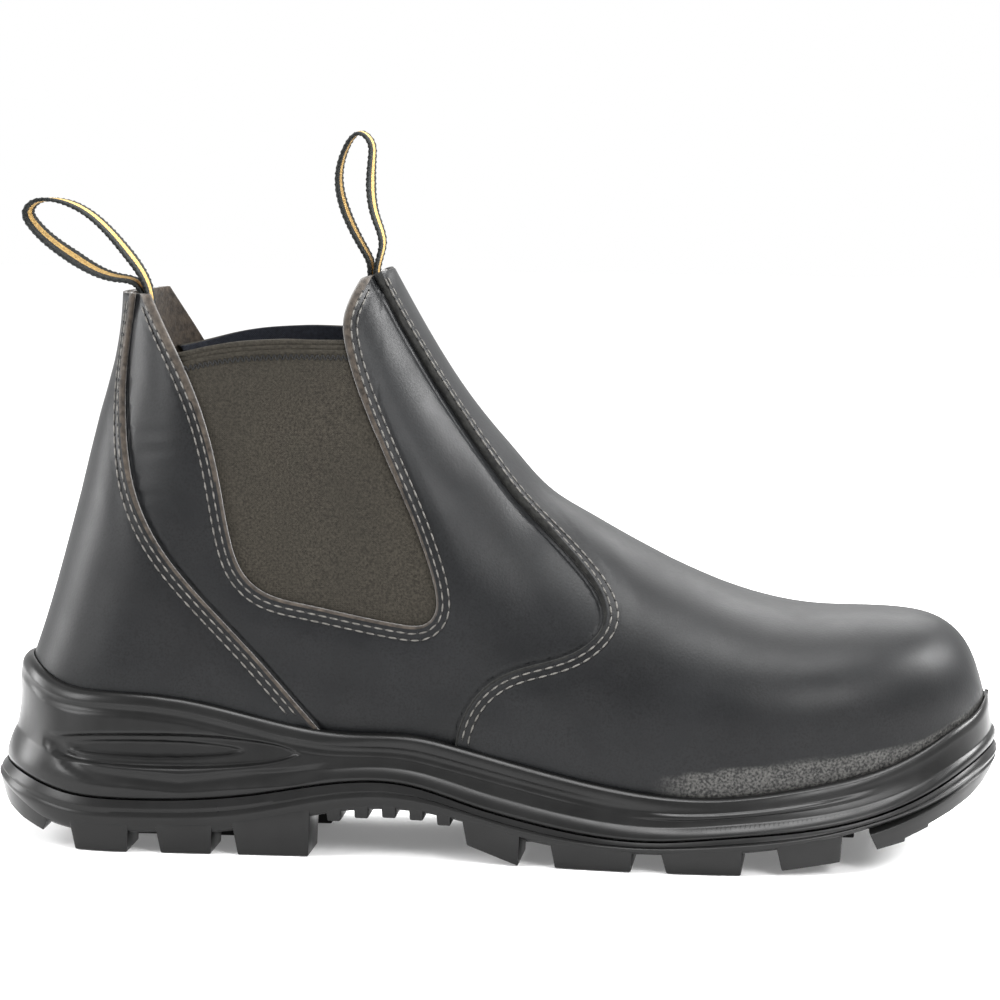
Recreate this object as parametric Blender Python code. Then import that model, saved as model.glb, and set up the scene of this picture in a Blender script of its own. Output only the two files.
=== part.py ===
# Side gore work boot, the right one of a pair. Metres, +Z up, toe towards +X.
# The outer side of the foot faces -Y, the inner side faces +Y. The floor is z = 0.
# Tables are in millimetres; MM turns them into metres when a mesh is written.
import bpy
import math
import numpy as np

MM = 0.001
OUTER, INNER = -1, 1

# Driving dimensions. Layers are depths below the outermost leather surface.
OVERLAY = (0.0, 1.5)
UPPER = (1.8, 4.0)
GORE = (4.3, 6.0)
INSOLE_INSET, INSOLE_THICK = 4.7, 4.4
GAP = 0.3
SOLE_BACK, SOLE_TOE = -152.8, 154.6
HEEL_LENGTH = 46.0
COLLAR_FRONT, COLLAR_HEIGHT = -32.5, 177.4
TOE_START, TOE_WALL = 72.0, 42.0
LEATHER_ROWS = 10
SEAM_STEP, GORE_STEP = 5.5, 8.5
STRAP_WIDTH, STRAP_THICK, STRAP_STEP = 11.0, 1.3, 3.4
GORE_MARGIN, GORE_HEM = 8.0, 150.0
COUNTER_FOOT, VAMP_FOOT = -53.0, -9.0
LUG_DROP, LUG_PROUD, LUG_LEAN, LUG_REACH = 4.6, 0.5, 1.8, 0.55
RIB_LENGTH, RIB_DEPTH, RIB_REACH = 4.7, 2.6, 0.4

# Colour, roughness and metallic value of each piece.
BLACK_LEATHER = ((0.060, 0.060, 0.063), 0.42, 0.0)
BLACK_RUBBER = ((0.030, 0.030, 0.030), 0.50, 0.0)
BROWN_ELASTIC = ((0.070, 0.060, 0.045), 0.85, 0.0)
BLACK_WEBBING = ((0.020, 0.020, 0.020), 0.80, 0.0)
LOOKS = {
    "upper": BLACK_LEATHER,
    "vamp": BLACK_LEATHER,
    "heel_counter": BLACK_LEATHER,
    "gore_outer": BROWN_ELASTIC,
    "gore_inner": BROWN_ELASTIC,
    "insole": ((0.050, 0.050, 0.050), 0.90, 0.0),
    "midsole": BLACK_RUBBER,
    "outsole": BLACK_RUBBER,
    "pull_loop_back": BLACK_WEBBING,
    "pull_loop_front": BLACK_WEBBING,
}
SHARP_ANGLE = math.radians(35)


def table(columns, rows):
    """A short table with named columns."""
    values = np.array(rows, float).T
    return dict(zip(columns.split(), values))


def spline(xs, ys, x):
    """Natural cubic spline, straight beyond its ends."""
    x = np.asarray(x, float)
    n = len(xs)
    h = np.diff(xs)
    slope = np.diff(ys) / h
    a = np.zeros((n, n))
    b = np.zeros(n)
    a[0, 0] = a[-1, -1] = 1
    for i in range(1, n - 1):
        a[i, i - 1:i + 2] = h[i - 1], 2 * (h[i - 1] + h[i]), h[i]
        b[i] = 6 * (slope[i] - slope[i - 1])
    m = np.linalg.solve(a, b)
    i = np.clip(np.searchsorted(xs, x) - 1, 0, n - 2)
    t = x - xs[i]
    r = xs[i + 1] - x
    inside = ((m[i] * r ** 3 + m[i + 1] * t ** 3) / (6 * h[i])
              + (ys[i] / h[i] - m[i] * h[i] / 6) * r
              + (ys[i + 1] / h[i] - m[i + 1] * h[i] / 6) * t)
    first = ys[0] + (x - xs[0]) * (slope[0] - h[0] * m[1] / 6)
    last = ys[-1] + (x - xs[-1]) * (slope[-1] + h[-1] * m[-2] / 6)
    return np.where(x < xs[0], first, np.where(x > xs[-1], last, inside))


def smooth(x, start, end):
    """0 before start, 1 after end, eased between."""
    t = np.clip((x - start) / (end - start), 0, 1)
    return t * t * (3 - 2 * t)


def lengths(points):
    """Distance along a line of points, at each point."""
    steps = np.linalg.norm(np.diff(points, axis=0), axis=1)
    return np.concatenate([[0], np.cumsum(steps)])


def curve(points, spacing):
    """A smooth line through points, evenly spaced along its length."""
    p = np.array(points, float)
    s = lengths(p)
    n = max(2, int(round(s[-1] / spacing)))
    t = np.linspace(0, s[-1], n + 1)
    return np.stack([spline(s, p[:, k], t) for k in range(p.shape[1])], 1)


# The last: its back line, its front ridge and its half widths to each side.
BACK = table("z x", [
    (20, -141.5), (34, -144.2), (50, -145.6), (62, -142.4), (120, -126.4), (160, -117.4), (172, -116.6)])
RIDGE = table("x z", [
    (150.4, 26.0), (152.0, 43.0), (149.9, 53.0), (145.3, 63.9), (137.2, 71.0), (126.0, 73.8),
    (95.5, 75.0), (62.5, 84.4), (26.7, 102.8), (16.2, 109.7), (5.5, 121.2), (-4.9, 133.5),
    (COLLAR_FRONT, COLLAR_HEIGHT)])
PLAN = table("x centre outer inner depth power", [
    (-150, 0.0, 36.0, 36.0, 72, 2.1),
    (-100, 0.3, 36.5, 35.8, 72, 2.1),
    (-60, 0.8, 37.0, 35.0, 72, 2.1),
    (-25, 1.5, 39.8, 35.5, 72, 2.1),
    (10, 2.2, 45.5, 39.0, 68, 2.1),
    (40, 3.0, 51.5, 45.5, 53, 2.2),
    (65, 4.0, 54.0, 48.5, 42, 2.3),
    (90, 5.2, 54.0, 49.0, 34.5, 2.5),
    (115, 6.6, 53.0, 48.0, 31.8, 2.6),
    (152, 8.5, 51.5, 46.5, 31.0, 2.6)])
HEEL_ROUND = table("z length power", [
    (30, 42, 2.25), (80, 42, 2.2), (130, 42, 2.1), (175, 43, 2.05)])
FEATHER = table("x z", [
    (-146, 35), (-100, 32), (-60, 29), (-20, 25), (20, 17.5), (60, 14.5), (100, 18.5),
    (130, 26), (152, 34)])
COLLAR = table("x z", [
    (-120, 168.9), (-100, 170.4), (-60, 174.0), (COLLAR_FRONT, COLLAR_HEIGHT)])
FRONT_SLOPE = -1.75
TOE_POWER = 2.35
TUCK, TUCK_HEIGHT = 0.075, 25.0

RIDGE_LINE = curve(np.stack([RIDGE['x'], RIDGE['z']], 1), 0.3)
TIP = int(np.argmax(RIDGE_LINE[:, 0]))
TOE_TIP = float(RIDGE_LINE[TIP, 0])
TOP_LINE = RIDGE_LINE[TIP:][::-1]


def back(z):
    return spline(BACK['z'], BACK['x'], z)


def feather(x):
    return spline(FEATHER['x'], FEATHER['z'], x)


def plan(name, x):
    return spline(PLAN['x'], PLAN[name], x)


def top(x):
    """Height of the front ridge; behind the collar front it runs on upwards."""
    beyond = COLLAR_HEIGHT + (x - COLLAR_FRONT) * FRONT_SLOPE
    return np.where(x < COLLAR_FRONT, beyond, np.interp(x, TOP_LINE[:, 0], TOP_LINE[:, 1]))


def half_width(x, z, side):
    """Distance of the last's surface from its centre line, at one side."""
    x = np.asarray(x, float)
    ceiling = top(x)
    depth = np.minimum(plan('depth', x), ceiling - TOE_WALL) + 1e-9
    t = np.clip((z - (ceiling - depth)) / depth, 0, 1)
    arch = np.sqrt(np.clip(1 - t ** plan('power', x), 0, 1))
    length = spline(HEEL_ROUND['z'], HEEL_ROUND['length'], z)
    power = spline(HEEL_ROUND['z'], HEEL_ROUND['power'], z)
    s = np.clip((x - back(z)) / length, 0, 1)
    heel = np.sqrt(np.clip(1 - (1 - s) ** power, 0, 1))
    q = np.clip((x - TOE_START) / (TOE_TIP - TOE_START), 0, 1)
    toe = np.sqrt(np.clip(1 - q ** TOE_POWER, 0, 1))
    tuck = 1 - TUCK * np.clip((feather(x) + TUCK_HEIGHT - z) / TUCK_HEIGHT, 0, 1) ** 2
    return plan('outer' if side < 0 else 'inner', x) * arch * heel * toe * tuck


# Columns of the leather stand close together where the form or a seam turns.
BACK_REFERENCE = float(back(80.0))
HEEL_COLUMNS, TOE_COLUMNS = 6, 8
MIDDLE_COLUMNS = [
    -79, -65, -50.6, -45.5, -41, -37.5, -34, COLLAR_FRONT, -27, -20, -14.5, -9.5, 0, 10, 21,
    35, 52, TOE_START]


def stations():
    """x of each column of the leather, at the height of the back reference."""
    quarter = np.linspace(0, math.pi / 2, HEEL_COLUMNS + 1)
    heel = BACK_REFERENCE + HEEL_LENGTH * (1 - np.cos(quarter))
    quarter = np.linspace(0, math.pi / 2, TOE_COLUMNS + 1)
    toe = TOE_START + (TOE_TIP - TOE_START) * np.sin(quarter)
    return np.concatenate([heel, MIDDLE_COLUMNS, toe[1:]])


STATIONS = stations()


def leaned(x0, z):
    """A column's x at height z: columns near the heel lean with the back line."""
    fade = np.clip((COLLAR_FRONT - x0) / (COLLAR_FRONT - BACK_REFERENCE), 0, 1)
    return x0 + (back(z) - BACK_REFERENCE) * fade


def column(x0, side, rows):
    """Points of one side of the last from the feather line up to the collar or ridge."""
    u = np.linspace(0, 1, 81)
    z_low = feather(leaned(x0, 32.0))
    if x0 < COLLAR_FRONT:
        x_top = leaned(x0, 172.0)
        z_high = min(float(np.interp(x_top, COLLAR['x'], COLLAR['z'])), float(top(x_top)))
    else:
        z_high = float(top(x0))
    z = z_low + (z_high - z_low) * np.sin(math.pi * u / 2)
    x = leaned(x0, z) * np.ones_like(z)
    w = half_width(x, z, side)
    if x0 <= BACK_REFERENCE + 1e-6 or x0 >= TOE_TIP - 1e-6:
        w = w * 0
    if x0 >= COLLAR_FRONT:
        w[-1] = 0
    p = np.stack([x, plan('centre', x) + side * w, z], 1)
    s = lengths(p)
    t = np.linspace(0, s[-1], rows + 1)
    return np.stack([np.interp(t, s, p[:, k]) for k in range(3)], 1)


class Skin:
    """The leather surface as shared points and faces, with its outward normals."""

    def __init__(self, rows):
        count = len(STATIONS)
        self.points = []
        self.faces = []
        self.index = {}
        collar_column = int(np.argmin(abs(STATIONS - COLLAR_FRONT)))
        for side in (OUTER, INNER):
            for i, x0 in enumerate(STATIONS):
                line = column(x0, side, rows)
                for j, p in enumerate(line):
                    shared = i in (0, count - 1) or (j == rows and i >= collar_column)
                    if side == INNER and shared:
                        self.index[side, i, j] = self.index[OUTER, i, j]
                        continue
                    self.index[side, i, j] = len(self.points)
                    self.points.append(p)
        self.points = np.array(self.points)
        for side in (OUTER, INNER):
            for i in range(count - 1):
                for j in range(rows):
                    ring = [self.index[side, i, j], self.index[side, i + 1, j],
                            self.index[side, i + 1, j + 1], self.index[side, i, j + 1]]
                    self.add(list(dict.fromkeys(ring)), side)
        self.feather = ([self.index[OUTER, i, 0] for i in range(count)]
                        + [self.index[INNER, i, 0] for i in range(count - 2, 0, -1)])
        self.collar = ([self.index[OUTER, i, rows] for i in range(collar_column + 1)]
                       + [self.index[INNER, i, rows] for i in range(collar_column - 1, 0, -1)])
        normals = np.zeros_like(self.points)
        for f in self.faces:
            p = self.points[f]
            n = sum(np.cross(p[k] - p[0], p[k + 1] - p[0]) for k in range(1, len(f) - 1))
            for v in f:
                normals[v] += n
        self.normals = normals / np.linalg.norm(normals, axis=1)[:, None]

    def add(self, ring, side):
        """A face split along its shorter diagonal, so that every depth is split alike."""
        if len(ring) == 4:
            p = self.points[ring]
            if np.linalg.norm(p[0] - p[2]) > np.linalg.norm(p[1] - p[3]):
                ring = ring[1:] + ring[:1]
            parts = [[ring[0], ring[1], ring[2]], [ring[0], ring[2], ring[3]]]
        else:
            parts = [ring]
        self.faces += [part if side == OUTER else part[::-1] for part in parts]

    def shell(self, outside, inside):
        """Points and faces of a closed wall between two depths."""
        n = len(self.points)
        points = np.vstack([self.points - self.normals * outside,
                            self.points - self.normals * inside])
        faces = [list(f) for f in self.faces]
        faces += [[v + n for v in f[::-1]] for f in self.faces]
        for edge, way in ((self.feather, 1), (self.collar, -1)):
            for a, b in zip(edge, edge[1:] + edge[:1]):
                quad = [b, a, a + n, b + n]
                faces.append(quad if way > 0 else quad[::-1])
        return points, faces


def make(name, points, faces):
    """An object from points in millimetres, shaded smooth across its gentle turns."""
    mesh = bpy.data.meshes.new(name)
    mesh.from_pydata([tuple(float(c) * MM for c in p) for p in points], [], faces)
    mesh.validate()
    mesh.shade_smooth()
    mesh.set_sharp_from_angle(angle=SHARP_ANGLE)
    obj = bpy.data.objects.new(name, mesh)
    bpy.context.scene.collection.objects.link(obj)
    if name in LOOKS:
        mesh.materials.append(finish(name, *LOOKS[name]))
    return obj


def finish(name, colour, roughness, metallic):
    material = bpy.data.materials.new(name)
    material.use_nodes = True
    shader = material.node_tree.nodes["Principled BSDF"]
    shader.inputs["Base Color"].default_value = (*colour, 1.0)
    shader.inputs["Roughness"].default_value = roughness
    shader.inputs["Metallic"].default_value = metallic
    return material


def prism(name, outline, low, high):
    """A cutter: an outline in x and z, drawn out along y."""
    n = len(outline)
    points = [(x, low, z) for x, z in outline] + [(x, high, z) for x, z in outline]
    following = np.roll(outline, -1, axis=0)
    area = sum(a[0] * b[1] - b[0] * a[1] for a, b in zip(outline, following))
    front = list(range(n)) if area > 0 else list(range(n))[::-1]
    faces = [front, [v + n for v in front[::-1]]]
    faces += [[b, a, a + n, b + n] for a, b in zip(front, front[1:] + front[:1])]
    return hidden(make(name, points, faces))


def hidden(obj):
    obj.hide_render = True
    obj.display_type = 'WIRE'
    return obj


def cut(target, cutter, operation):
    step = target.modifiers.new(operation.lower(), 'BOOLEAN')
    step.operation = operation
    step.solver = 'EXACT'
    step.object = cutter


# Seam lines in side view, x and z, from the collar down.
COUNTER_SEAM = [
    (-111.0, 176.0), (-112.4, 165.0), (-114.3, 151.0), (-113.2, 127.7), (-109.5, 111.0),
    (-101.7, 95.6), (-92.2, 83.4), (-72.5, 62.5), (-54.0, 41.5)]
VAMP_SEAM = [
    (-38.4, 182.0), (-31.3, 168.6), (-20.1, 149.5), (1.4, 118.1), (10.7, 106.9), (29.9, 87.7),
    (35.5, 79.2), (36.2, 75.0), (31.0, 67.3), (19.1, 61.9), (6.0, 57.4), (-3.1, 49.7),
    (-7.4, 41.4), (-9.0, 34.0)]
GORE_EDGE = [
    (-113.0, 178.0), (-106.6, 167.0), (-98.4, 154.2), (-88.9, 136.6), (-82.9, 117.6),
    (-78.4, 94.8), (-75.2, 86.4), (-69.5, 80.6), (-56.2, 76.5), (-25.8, 71.0), (-18.7, 71.5),
    (-15.9, 74.4), (-15.2, 79.5), (-16.9, 87.8), (-36.5, 136.5), (-42.7, 156.8), (-43.2, 163.0),
    (-40.8, 171.1), (-36.0, 180.0)]
GORE_TOP = [(-104.7, 152.0), (-96.7, 152.8), (-87.7, 154.7), (-57.0, 157.5), (-32.0, 158.6)]
SIDE, SKY, GROUND = 90, 200, 0


def widened(line, distance):
    """An open line moved sideways, away from the side that it turns round."""
    line = np.array(line)
    d = np.gradient(line, axis=0)
    d /= np.linalg.norm(d, axis=1)[:, None]
    return line + np.stack([d[:, 1], -d[:, 0]], 1) * distance


def upper_pieces():
    skin = Skin(LEATHER_ROWS)
    upper = make("upper", *skin.shell(*UPPER))
    notch = np.vstack([curve(GORE_EDGE, SEAM_STEP), [(-36, SKY), (-113, SKY)]])
    cut(upper, prism("gore_notch", notch, -SIDE, SIDE), 'DIFFERENCE')

    line = curve(GORE_EDGE, GORE_STEP)
    line = line[line[:, 1] < GORE_HEM]
    panel = np.vstack([widened(line, GORE_MARGIN), GORE_TOP[::-1]])
    for name, low, high in (("gore_outer", -SIDE, 0), ("gore_inner", 0, SIDE)):
        gore = make(name, *skin.shell(*GORE))
        cut(gore, prism(name + "_outline", panel, low, high), 'INTERSECT')

    front = [(VAMP_FOOT, 30), (VAMP_FOOT, GROUND), (170, GROUND), (170, SKY), (-38.4, SKY)]
    rear = [(COUNTER_FOOT, 40), (COUNTER_FOOT, GROUND), (-170, GROUND), (-170, SKY), (-112, SKY)]
    for name, seam, rest in (("vamp", VAMP_SEAM, front), ("heel_counter", COUNTER_SEAM, rear)):
        overlay = make(name, *skin.shell(*OVERLAY))
        outline = np.vstack([curve(seam, SEAM_STEP), rest])
        cut(overlay, prism(name + "_outline", outline, -SIDE, SIDE), 'INTERSECT')


# Sole: the outline at the parting line, about the same centre line as the last.
SOLE_PLAN = table("x outer inner", [
    (-152, 41.0, 40.5), (-100, 41.0, 40.5), (-60, 41.5, 39.5), (-25, 44.0, 39.5), (10, 50.5, 43.0),
    (40, 56.5, 49.5), (65, 59.8, 52.0), (90, 60.5, 52.0), (115, 60.0, 51.0), (152, 58.5, 49.5)])
SOLE_HEEL_POWER, SOLE_TOE_START = 2.3, 70.0
RUBBER_TOP = table("x z", [
    (-152, 56.8), (-144, 56.6), (-135.5, 52.2), (-118.5, 48.9), (-97.1, 47.8), (-43.3, 37.8),
    (-19.2, 37.2), (-9.6, 35.3), (36.9, 25.2), (68.3, 22.3), (97.3, 25.5), (135.1, 36.9),
    (142.9, 41.4), (149.5, 45.8), (152.2, 49.0), (156, 50.0)])
PARTING = table("x z", [
    (-156, 24.6), (-152.4, 23.8), (-128.4, 17.4), (-115, 16.4), (-70.1, 18.6), (-22.2, 22.7),
    (-2.1, 17.2), (8, 14.8), (52.1, 9.4), (74.8, 11.2), (135.6, 22.9), (156, 34.5)])
TREAD = table("x z", [
    (-156, 19.0), (-150, 14.5), (-105.3, 6.1), (-79.6, 6.9), (-43.2, 14.1), (-15.5, 14.3),
    (16.7, 7.4), (50.3, 5.5), (104, 10.2), (115.7, 12.9), (143, 21.6), (156, 29.0)])


def height(line, x):
    return spline(line['x'], line['z'], x)


SOLE_STRETCH = (SOLE_TOE - SOLE_BACK) / (STATIONS[-1] - STATIONS[0])
SOLE_STATIONS = SOLE_BACK + (STATIONS - STATIONS[0]) * SOLE_STRETCH


def sole_loop():
    """The parting line outline seen from above: outer side back to toe, then the inner side."""
    x = SOLE_STATIONS
    s = np.clip((x - SOLE_BACK) / HEEL_LENGTH, 0, 1)
    heel = np.sqrt(np.clip(1 - (1 - s) ** SOLE_HEEL_POWER, 0, 1))
    q = np.clip((x - SOLE_TOE_START) / (SOLE_TOE - SOLE_TOE_START), 0, 1)
    toe = np.sqrt(np.clip(1 - q ** TOE_POWER, 0, 1))
    y = {}
    for side, name in ((OUTER, 'outer'), (INNER, 'inner')):
        half = spline(SOLE_PLAN['x'], SOLE_PLAN[name], x) * heel * toe
        y[side] = plan('centre', x) + side * half
    return joined(x, y)


def joined(x, y):
    """One closed outline from the two sides."""
    outer = np.stack([x, y[OUTER]], 1)
    inner = np.stack([x, y[INNER]], 1)
    return np.vstack([outer, inner[-2:0:-1]])


def leather_loop(level):
    """The last's outline at a height that follows x; level is a function of x."""
    x = STATIONS
    for _ in range(4):
        x = leaned(STATIONS, level(x))
    z = level(x)
    y = {}
    for side in (OUTER, INNER):
        w = half_width(x, z, side)
        w[0] = w[-1] = 0
        y[side] = plan('centre', x) + side * w
    return joined(x, y)


def outward(loop):
    """Unit normals of a closed plan outline, pointing away from the foot."""
    d = np.roll(loop, -1, axis=0) - np.roll(loop, 1, axis=0)
    n = np.stack([d[:, 1], -d[:, 0]], 1)
    return n / np.linalg.norm(n, axis=1)[:, None]


def offset(loop, distance):
    return loop + outward(loop) * np.reshape(distance, (-1, 1))


def tower(levels):
    """Side faces through closed loops of 3D points, each with a flat cap of strips at its end."""
    n = len(levels[0])
    half = n // 2
    points = np.vstack(levels)
    faces = []
    for k in range(len(levels) - 1):
        a, b = k * n, (k + 1) * n
        for i in range(n):
            j = (i + 1) % n
            faces.append([a + i, a + j, b + j, b + i])
    for base, way in ((0, -1), ((len(levels) - 1) * n, 1)):
        for i in range(half):
            near = (base + i, base + i + 1)
            far = (base + (n - i) % n, base + n - i - 1)
            ring = list(dict.fromkeys([near[0], near[1], far[1], far[0]]))
            if len(ring) > 2:
                faces.append(ring if way > 0 else ring[::-1])
    return points, faces


def lifted(loop, z):
    return np.column_stack([loop, z * np.ones(len(loop))])


def bump(t, centre, half):
    return np.clip(1 - ((t - centre) / half) ** 2, 0, 1)


# The midsole's side: shares of its height, then how far each point is pushed out.
WALL_LEVELS = (0.0, 0.09, 0.19, 0.30, 0.41, 0.52, 0.63, 0.74, 0.83, 0.90, 0.955, 1.0)
INNER_LEVELS = (1.0, 0.78, 0.54, 0.28, 0.0)
LIP = table("x out", [(-150, 3.8), (-120, 3.2), (110, 3.2), (140, 2.5), (153, 1.8)])
LIP_ROUND = 3.2
TOE_EASE = 0.25
ALMOND = {'middle': -96.0, 'half_length': 39.0, 'z': 31.3, 'half_height': 5.6, 'depth': 1.9}


def wall_shape(x, z, h, drop):
    """Outward push in millimetres at x, height z, share of height h and drop below the rim."""
    corner = np.clip(1 - drop / LIP_ROUND, 0, 1)
    depth = np.interp(x, LIP['x'], LIP['out']) - 1.0
    rounded = -depth * (1 - np.sqrt(np.clip(1 - corner ** 2, 0, 1)))
    groove = -0.8 * bump(drop, 5.0, 1.7)
    along = np.clip(1 - ((x - ALMOND['middle']) / ALMOND['half_length']) ** 2, 0, 1)
    half = ALMOND['half_height'] * along ** 0.6 + 1e-6
    almond = -ALMOND['depth'] * along ** 0.3 * np.clip(1 - ((z - ALMOND['z']) / half) ** 2, 0, 1) ** 0.5
    hollow = -1.3 * bump(h, 0.5, 0.42) * smooth(x, -62, -30) * (1 - smooth(x, 120, 152))
    sweep = -1.6 * bump(h, 0.42, 0.38) * (1 - smooth(x, -150, -128))
    band = 0.8 * bump(h, 0.16, 0.15)
    return rounded + groove + almond + hollow + sweep + band


def inner_floor(x):
    return feather(x) - GAP


def rim(x):
    return height(RUBBER_TOP, x)


def midsole_piece():
    """A cup: up its outer side, over the lip, down its inner side to the floor under the leather."""
    bottom = sole_loop()
    inner_rim = leather_loop(rim)
    x = inner_rim[:, 0]
    outer_rim = offset(inner_rim, np.interp(x, LIP['x'], LIP['out']))
    low = height(PARTING, bottom[:, 0]) + GAP / 2
    high = rim(x)
    levels = []
    for h in WALL_LEVELS:
        z = low + (high - low) * h
        flat = bottom + (outer_rim - bottom) * h
        levels.append(lifted(offset(flat, wall_shape(flat[:, 0], z, h, high - z)), z))
    counter = 1 - smooth(x, COUNTER_FOOT + 0.8, COUNTER_FOOT + 5.6)
    vamp = smooth(x, VAMP_FOOT - 5.4, VAMP_FOOT - 0.6)
    clearance = GAP + TOE_EASE * smooth(x, 130, 148) - UPPER[0] * (1 - np.maximum(counter, vamp))
    for share in INNER_LEVELS:
        def level(s):
            return inner_floor(s) + (rim(s) - inner_floor(s)) * share
        loop = leather_loop(level)
        levels.append(lifted(offset(loop, clearance), level(loop[:, 0])))
    make("midsole", *tower(levels))


def insole_piece():
    levels = []
    for rise in (0.0, INSOLE_THICK / 2, INSOLE_THICK):
        def level(s):
            return feather(s) + rise
        loop = leather_loop(level)
        levels.append(lifted(offset(loop, -INSOLE_INSET), level(loop[:, 0])))
    make("insole", *tower(levels))


# Side lugs on both sides of the sole, with the height of the bottom at each end.
LUGS = table("start end low_start low_end", [
    (-127.5, -108.5, 0, 0), (-100.5, -82.7, 0, 0), (-76.8, -52.7, 0, 0),
    (-6.2, 12.1, 5.4, 0), (21.0, 46.5, 0, 0), (54.9, 79.6, 0, 0), (89.4, 109.1, 1.5, 3.6)])
# The lugs that wrap round both ends, in side view.
HEEL_BACK_LUG = [
    (-160, 30), (-160, 17), (-154.2, 15.5), (-149.4, 10.2), (-144.0, 7.4), (-136.6, 4.7),
    (-134.6, 9.0), (-134.6, 30)]
TOE_LUG = [
    (117.0, 40), (117.0, 12.5), (119.5, 6.9), (127.6, 8.6), (127.9, 9.7), (134.6, 12.2), (134.9, 13.2),
    (141.5, 16.2), (147.5, 19.6), (151.5, 23.2), (156.5, 30.5), (160, 40)]
WRAP_LEVELS = table("push drop", [(-2.2, 17.0), (0.6, 5.0), (-2.2, 3.0)])
ARCH_RIBS = [-48.0, -39.5, -31.0, -22.5, -14.0]
CENTRE_BARS = table("start end width low", [
    (-118, -104, 15, 0), (-94, -80, 15, 0), (-70, -58, 13, 0), (6, 18, 16, 0), (34, 50, 20, 0),
    (66, 82, 20, 0), (96, 112, 18, 3.2)])
OUTSOLE_LEVELS = table("share push", [(0.0, -0.6), (0.45, 0.9), (0.8, 0.7), (1.0, 0.1)])
HEEL_BULGE, HEEL_BULGE_END = 1.6, -130.0


def edge_at(loop, x, side):
    """Point and outward normal of the outline at x on one side."""
    n = len(loop)
    half = n // 2
    part = loop[:half + 1] if side < 0 else np.vstack([loop[half:], loop[:1]])[::-1]
    normal = outward(loop)
    normal = normal[:half + 1] if side < 0 else np.vstack([normal[half:], normal[:1]])[::-1]
    p = np.array([x, np.interp(x, part[:, 0], part[:, 1])])
    m = np.array([np.interp(x, part[:, 0], normal[:, 0]), np.interp(x, part[:, 0], normal[:, 1])])
    return p, m / np.linalg.norm(m)


def lug(loop, side, start, end, low, reach, proud, lean):
    """A block under the sole's edge. low is the bottom height at start and end."""
    points, faces = [], []
    for share in (0, 0.5, 1):
        x = start + (end - start) * share
        foot_x = start + lean + (end - start - 1.3 * lean) * share
        foot = low[0] + (low[1] - low[0]) * share
        p, m = edge_at(loop, x, side)
        base = float(height(TREAD, x))
        roof = min(base + LUG_DROP, float(height(PARTING, x)) - 1.2)
        centre = float(plan('centre', x))
        inner = centre + (p[1] - centre) * (1 - reach)
        out = side / max(0.6, abs(m[1]))
        points += [
            (x, p[1] - out * 2.2, roof),
            (x, p[1] + out * proud, roof - 1.6),
            (foot_x, p[1] - out * 0.7, foot),
            (foot_x, inner, foot),
            (x, inner, min(base + 2.0, roof - 0.4))]
    for a, b in ((0, 5), (5, 10)):
        for i in range(5):
            j = (i + 1) % 5
            faces.append([a + i, b + i, b + j, a + j])
    faces += [[0, 1, 2, 3, 4], [14, 13, 12, 11, 10]]
    if side < 0:
        faces = [ring[::-1] for ring in faces]
    return points, faces


def block(x0, x1, y0, y1, z0, z1):
    points = [(x, y, z) for z in (z0, z1) for y in (y0, y1) for x in (x0, x1)]
    faces = [[0, 2, 3, 1], [4, 5, 7, 6], [0, 1, 5, 4], [2, 6, 7, 3], [0, 4, 6, 2], [1, 3, 7, 5]]
    return points, faces


def merged(name, parts):
    points, faces = [], []
    for p, f in parts:
        faces += [[v + len(points) for v in ring] for ring in f]
        points += [tuple(q) for q in p]
    return make(name, points, faces)


def columns(rows):
    """The rows of a table, one after the other."""
    return zip(*rows.values())


def outsole_piece():
    outline = sole_loop()
    x = outline[:, 0]
    top_z = height(PARTING, x) - GAP / 2
    base_z = height(TREAD, x)
    bulge = HEEL_BULGE * (1 - smooth(x, SOLE_BACK, HEEL_BULGE_END))
    levels = []
    for share, push in columns(OUTSOLE_LEVELS):
        loop = offset(outline, push + bulge * (1 - abs(2 * share - 0.9)))
        levels.append(lifted(loop, base_z + (top_z - base_z) * share))
    body = make("outsole", *tower(levels))

    parts = []
    for side in (OUTER, INNER):
        for start, end, low_start, low_end in columns(LUGS):
            low = (low_start, low_end)
            parts.append(lug(outline, side, start, end, low, LUG_REACH, LUG_PROUD, LUG_LEAN))
        for start in ARCH_RIBS:
            low = float(height(TREAD, start + RIB_LENGTH / 2)) - RIB_DEPTH
            parts.append(lug(outline, side, start, start + RIB_LENGTH, (low, low), RIB_REACH, 0.2, 0.5))
    cut(body, hidden(merged("lug_blocks", parts)), 'UNION')

    for name, low_line in (("heel_back", HEEL_BACK_LUG), ("toe", TOE_LUG)):
        wrap = [lifted(offset(outline, push + bulge), height(PARTING, x) - drop)
                for push, drop in columns(WRAP_LEVELS)]
        wrapped = hidden(make(name + "_lug", *tower(wrap)))
        cut(wrapped, prism(name + "_lug_outline", np.array(low_line), -SIDE, SIDE), 'INTERSECT')
        cut(body, wrapped, 'UNION')

    bars = []
    for start, end, width, low in columns(CENTRE_BARS):
        middle = (start + end) / 2
        y = float(plan('centre', middle))
        roof = float(height(TREAD, middle)) + 1.5
        bars.append(block(start, end, y - width / 2, y + width / 2, low, roof))
    cut(body, hidden(merged("centre_bars", bars)), 'UNION')


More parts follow.
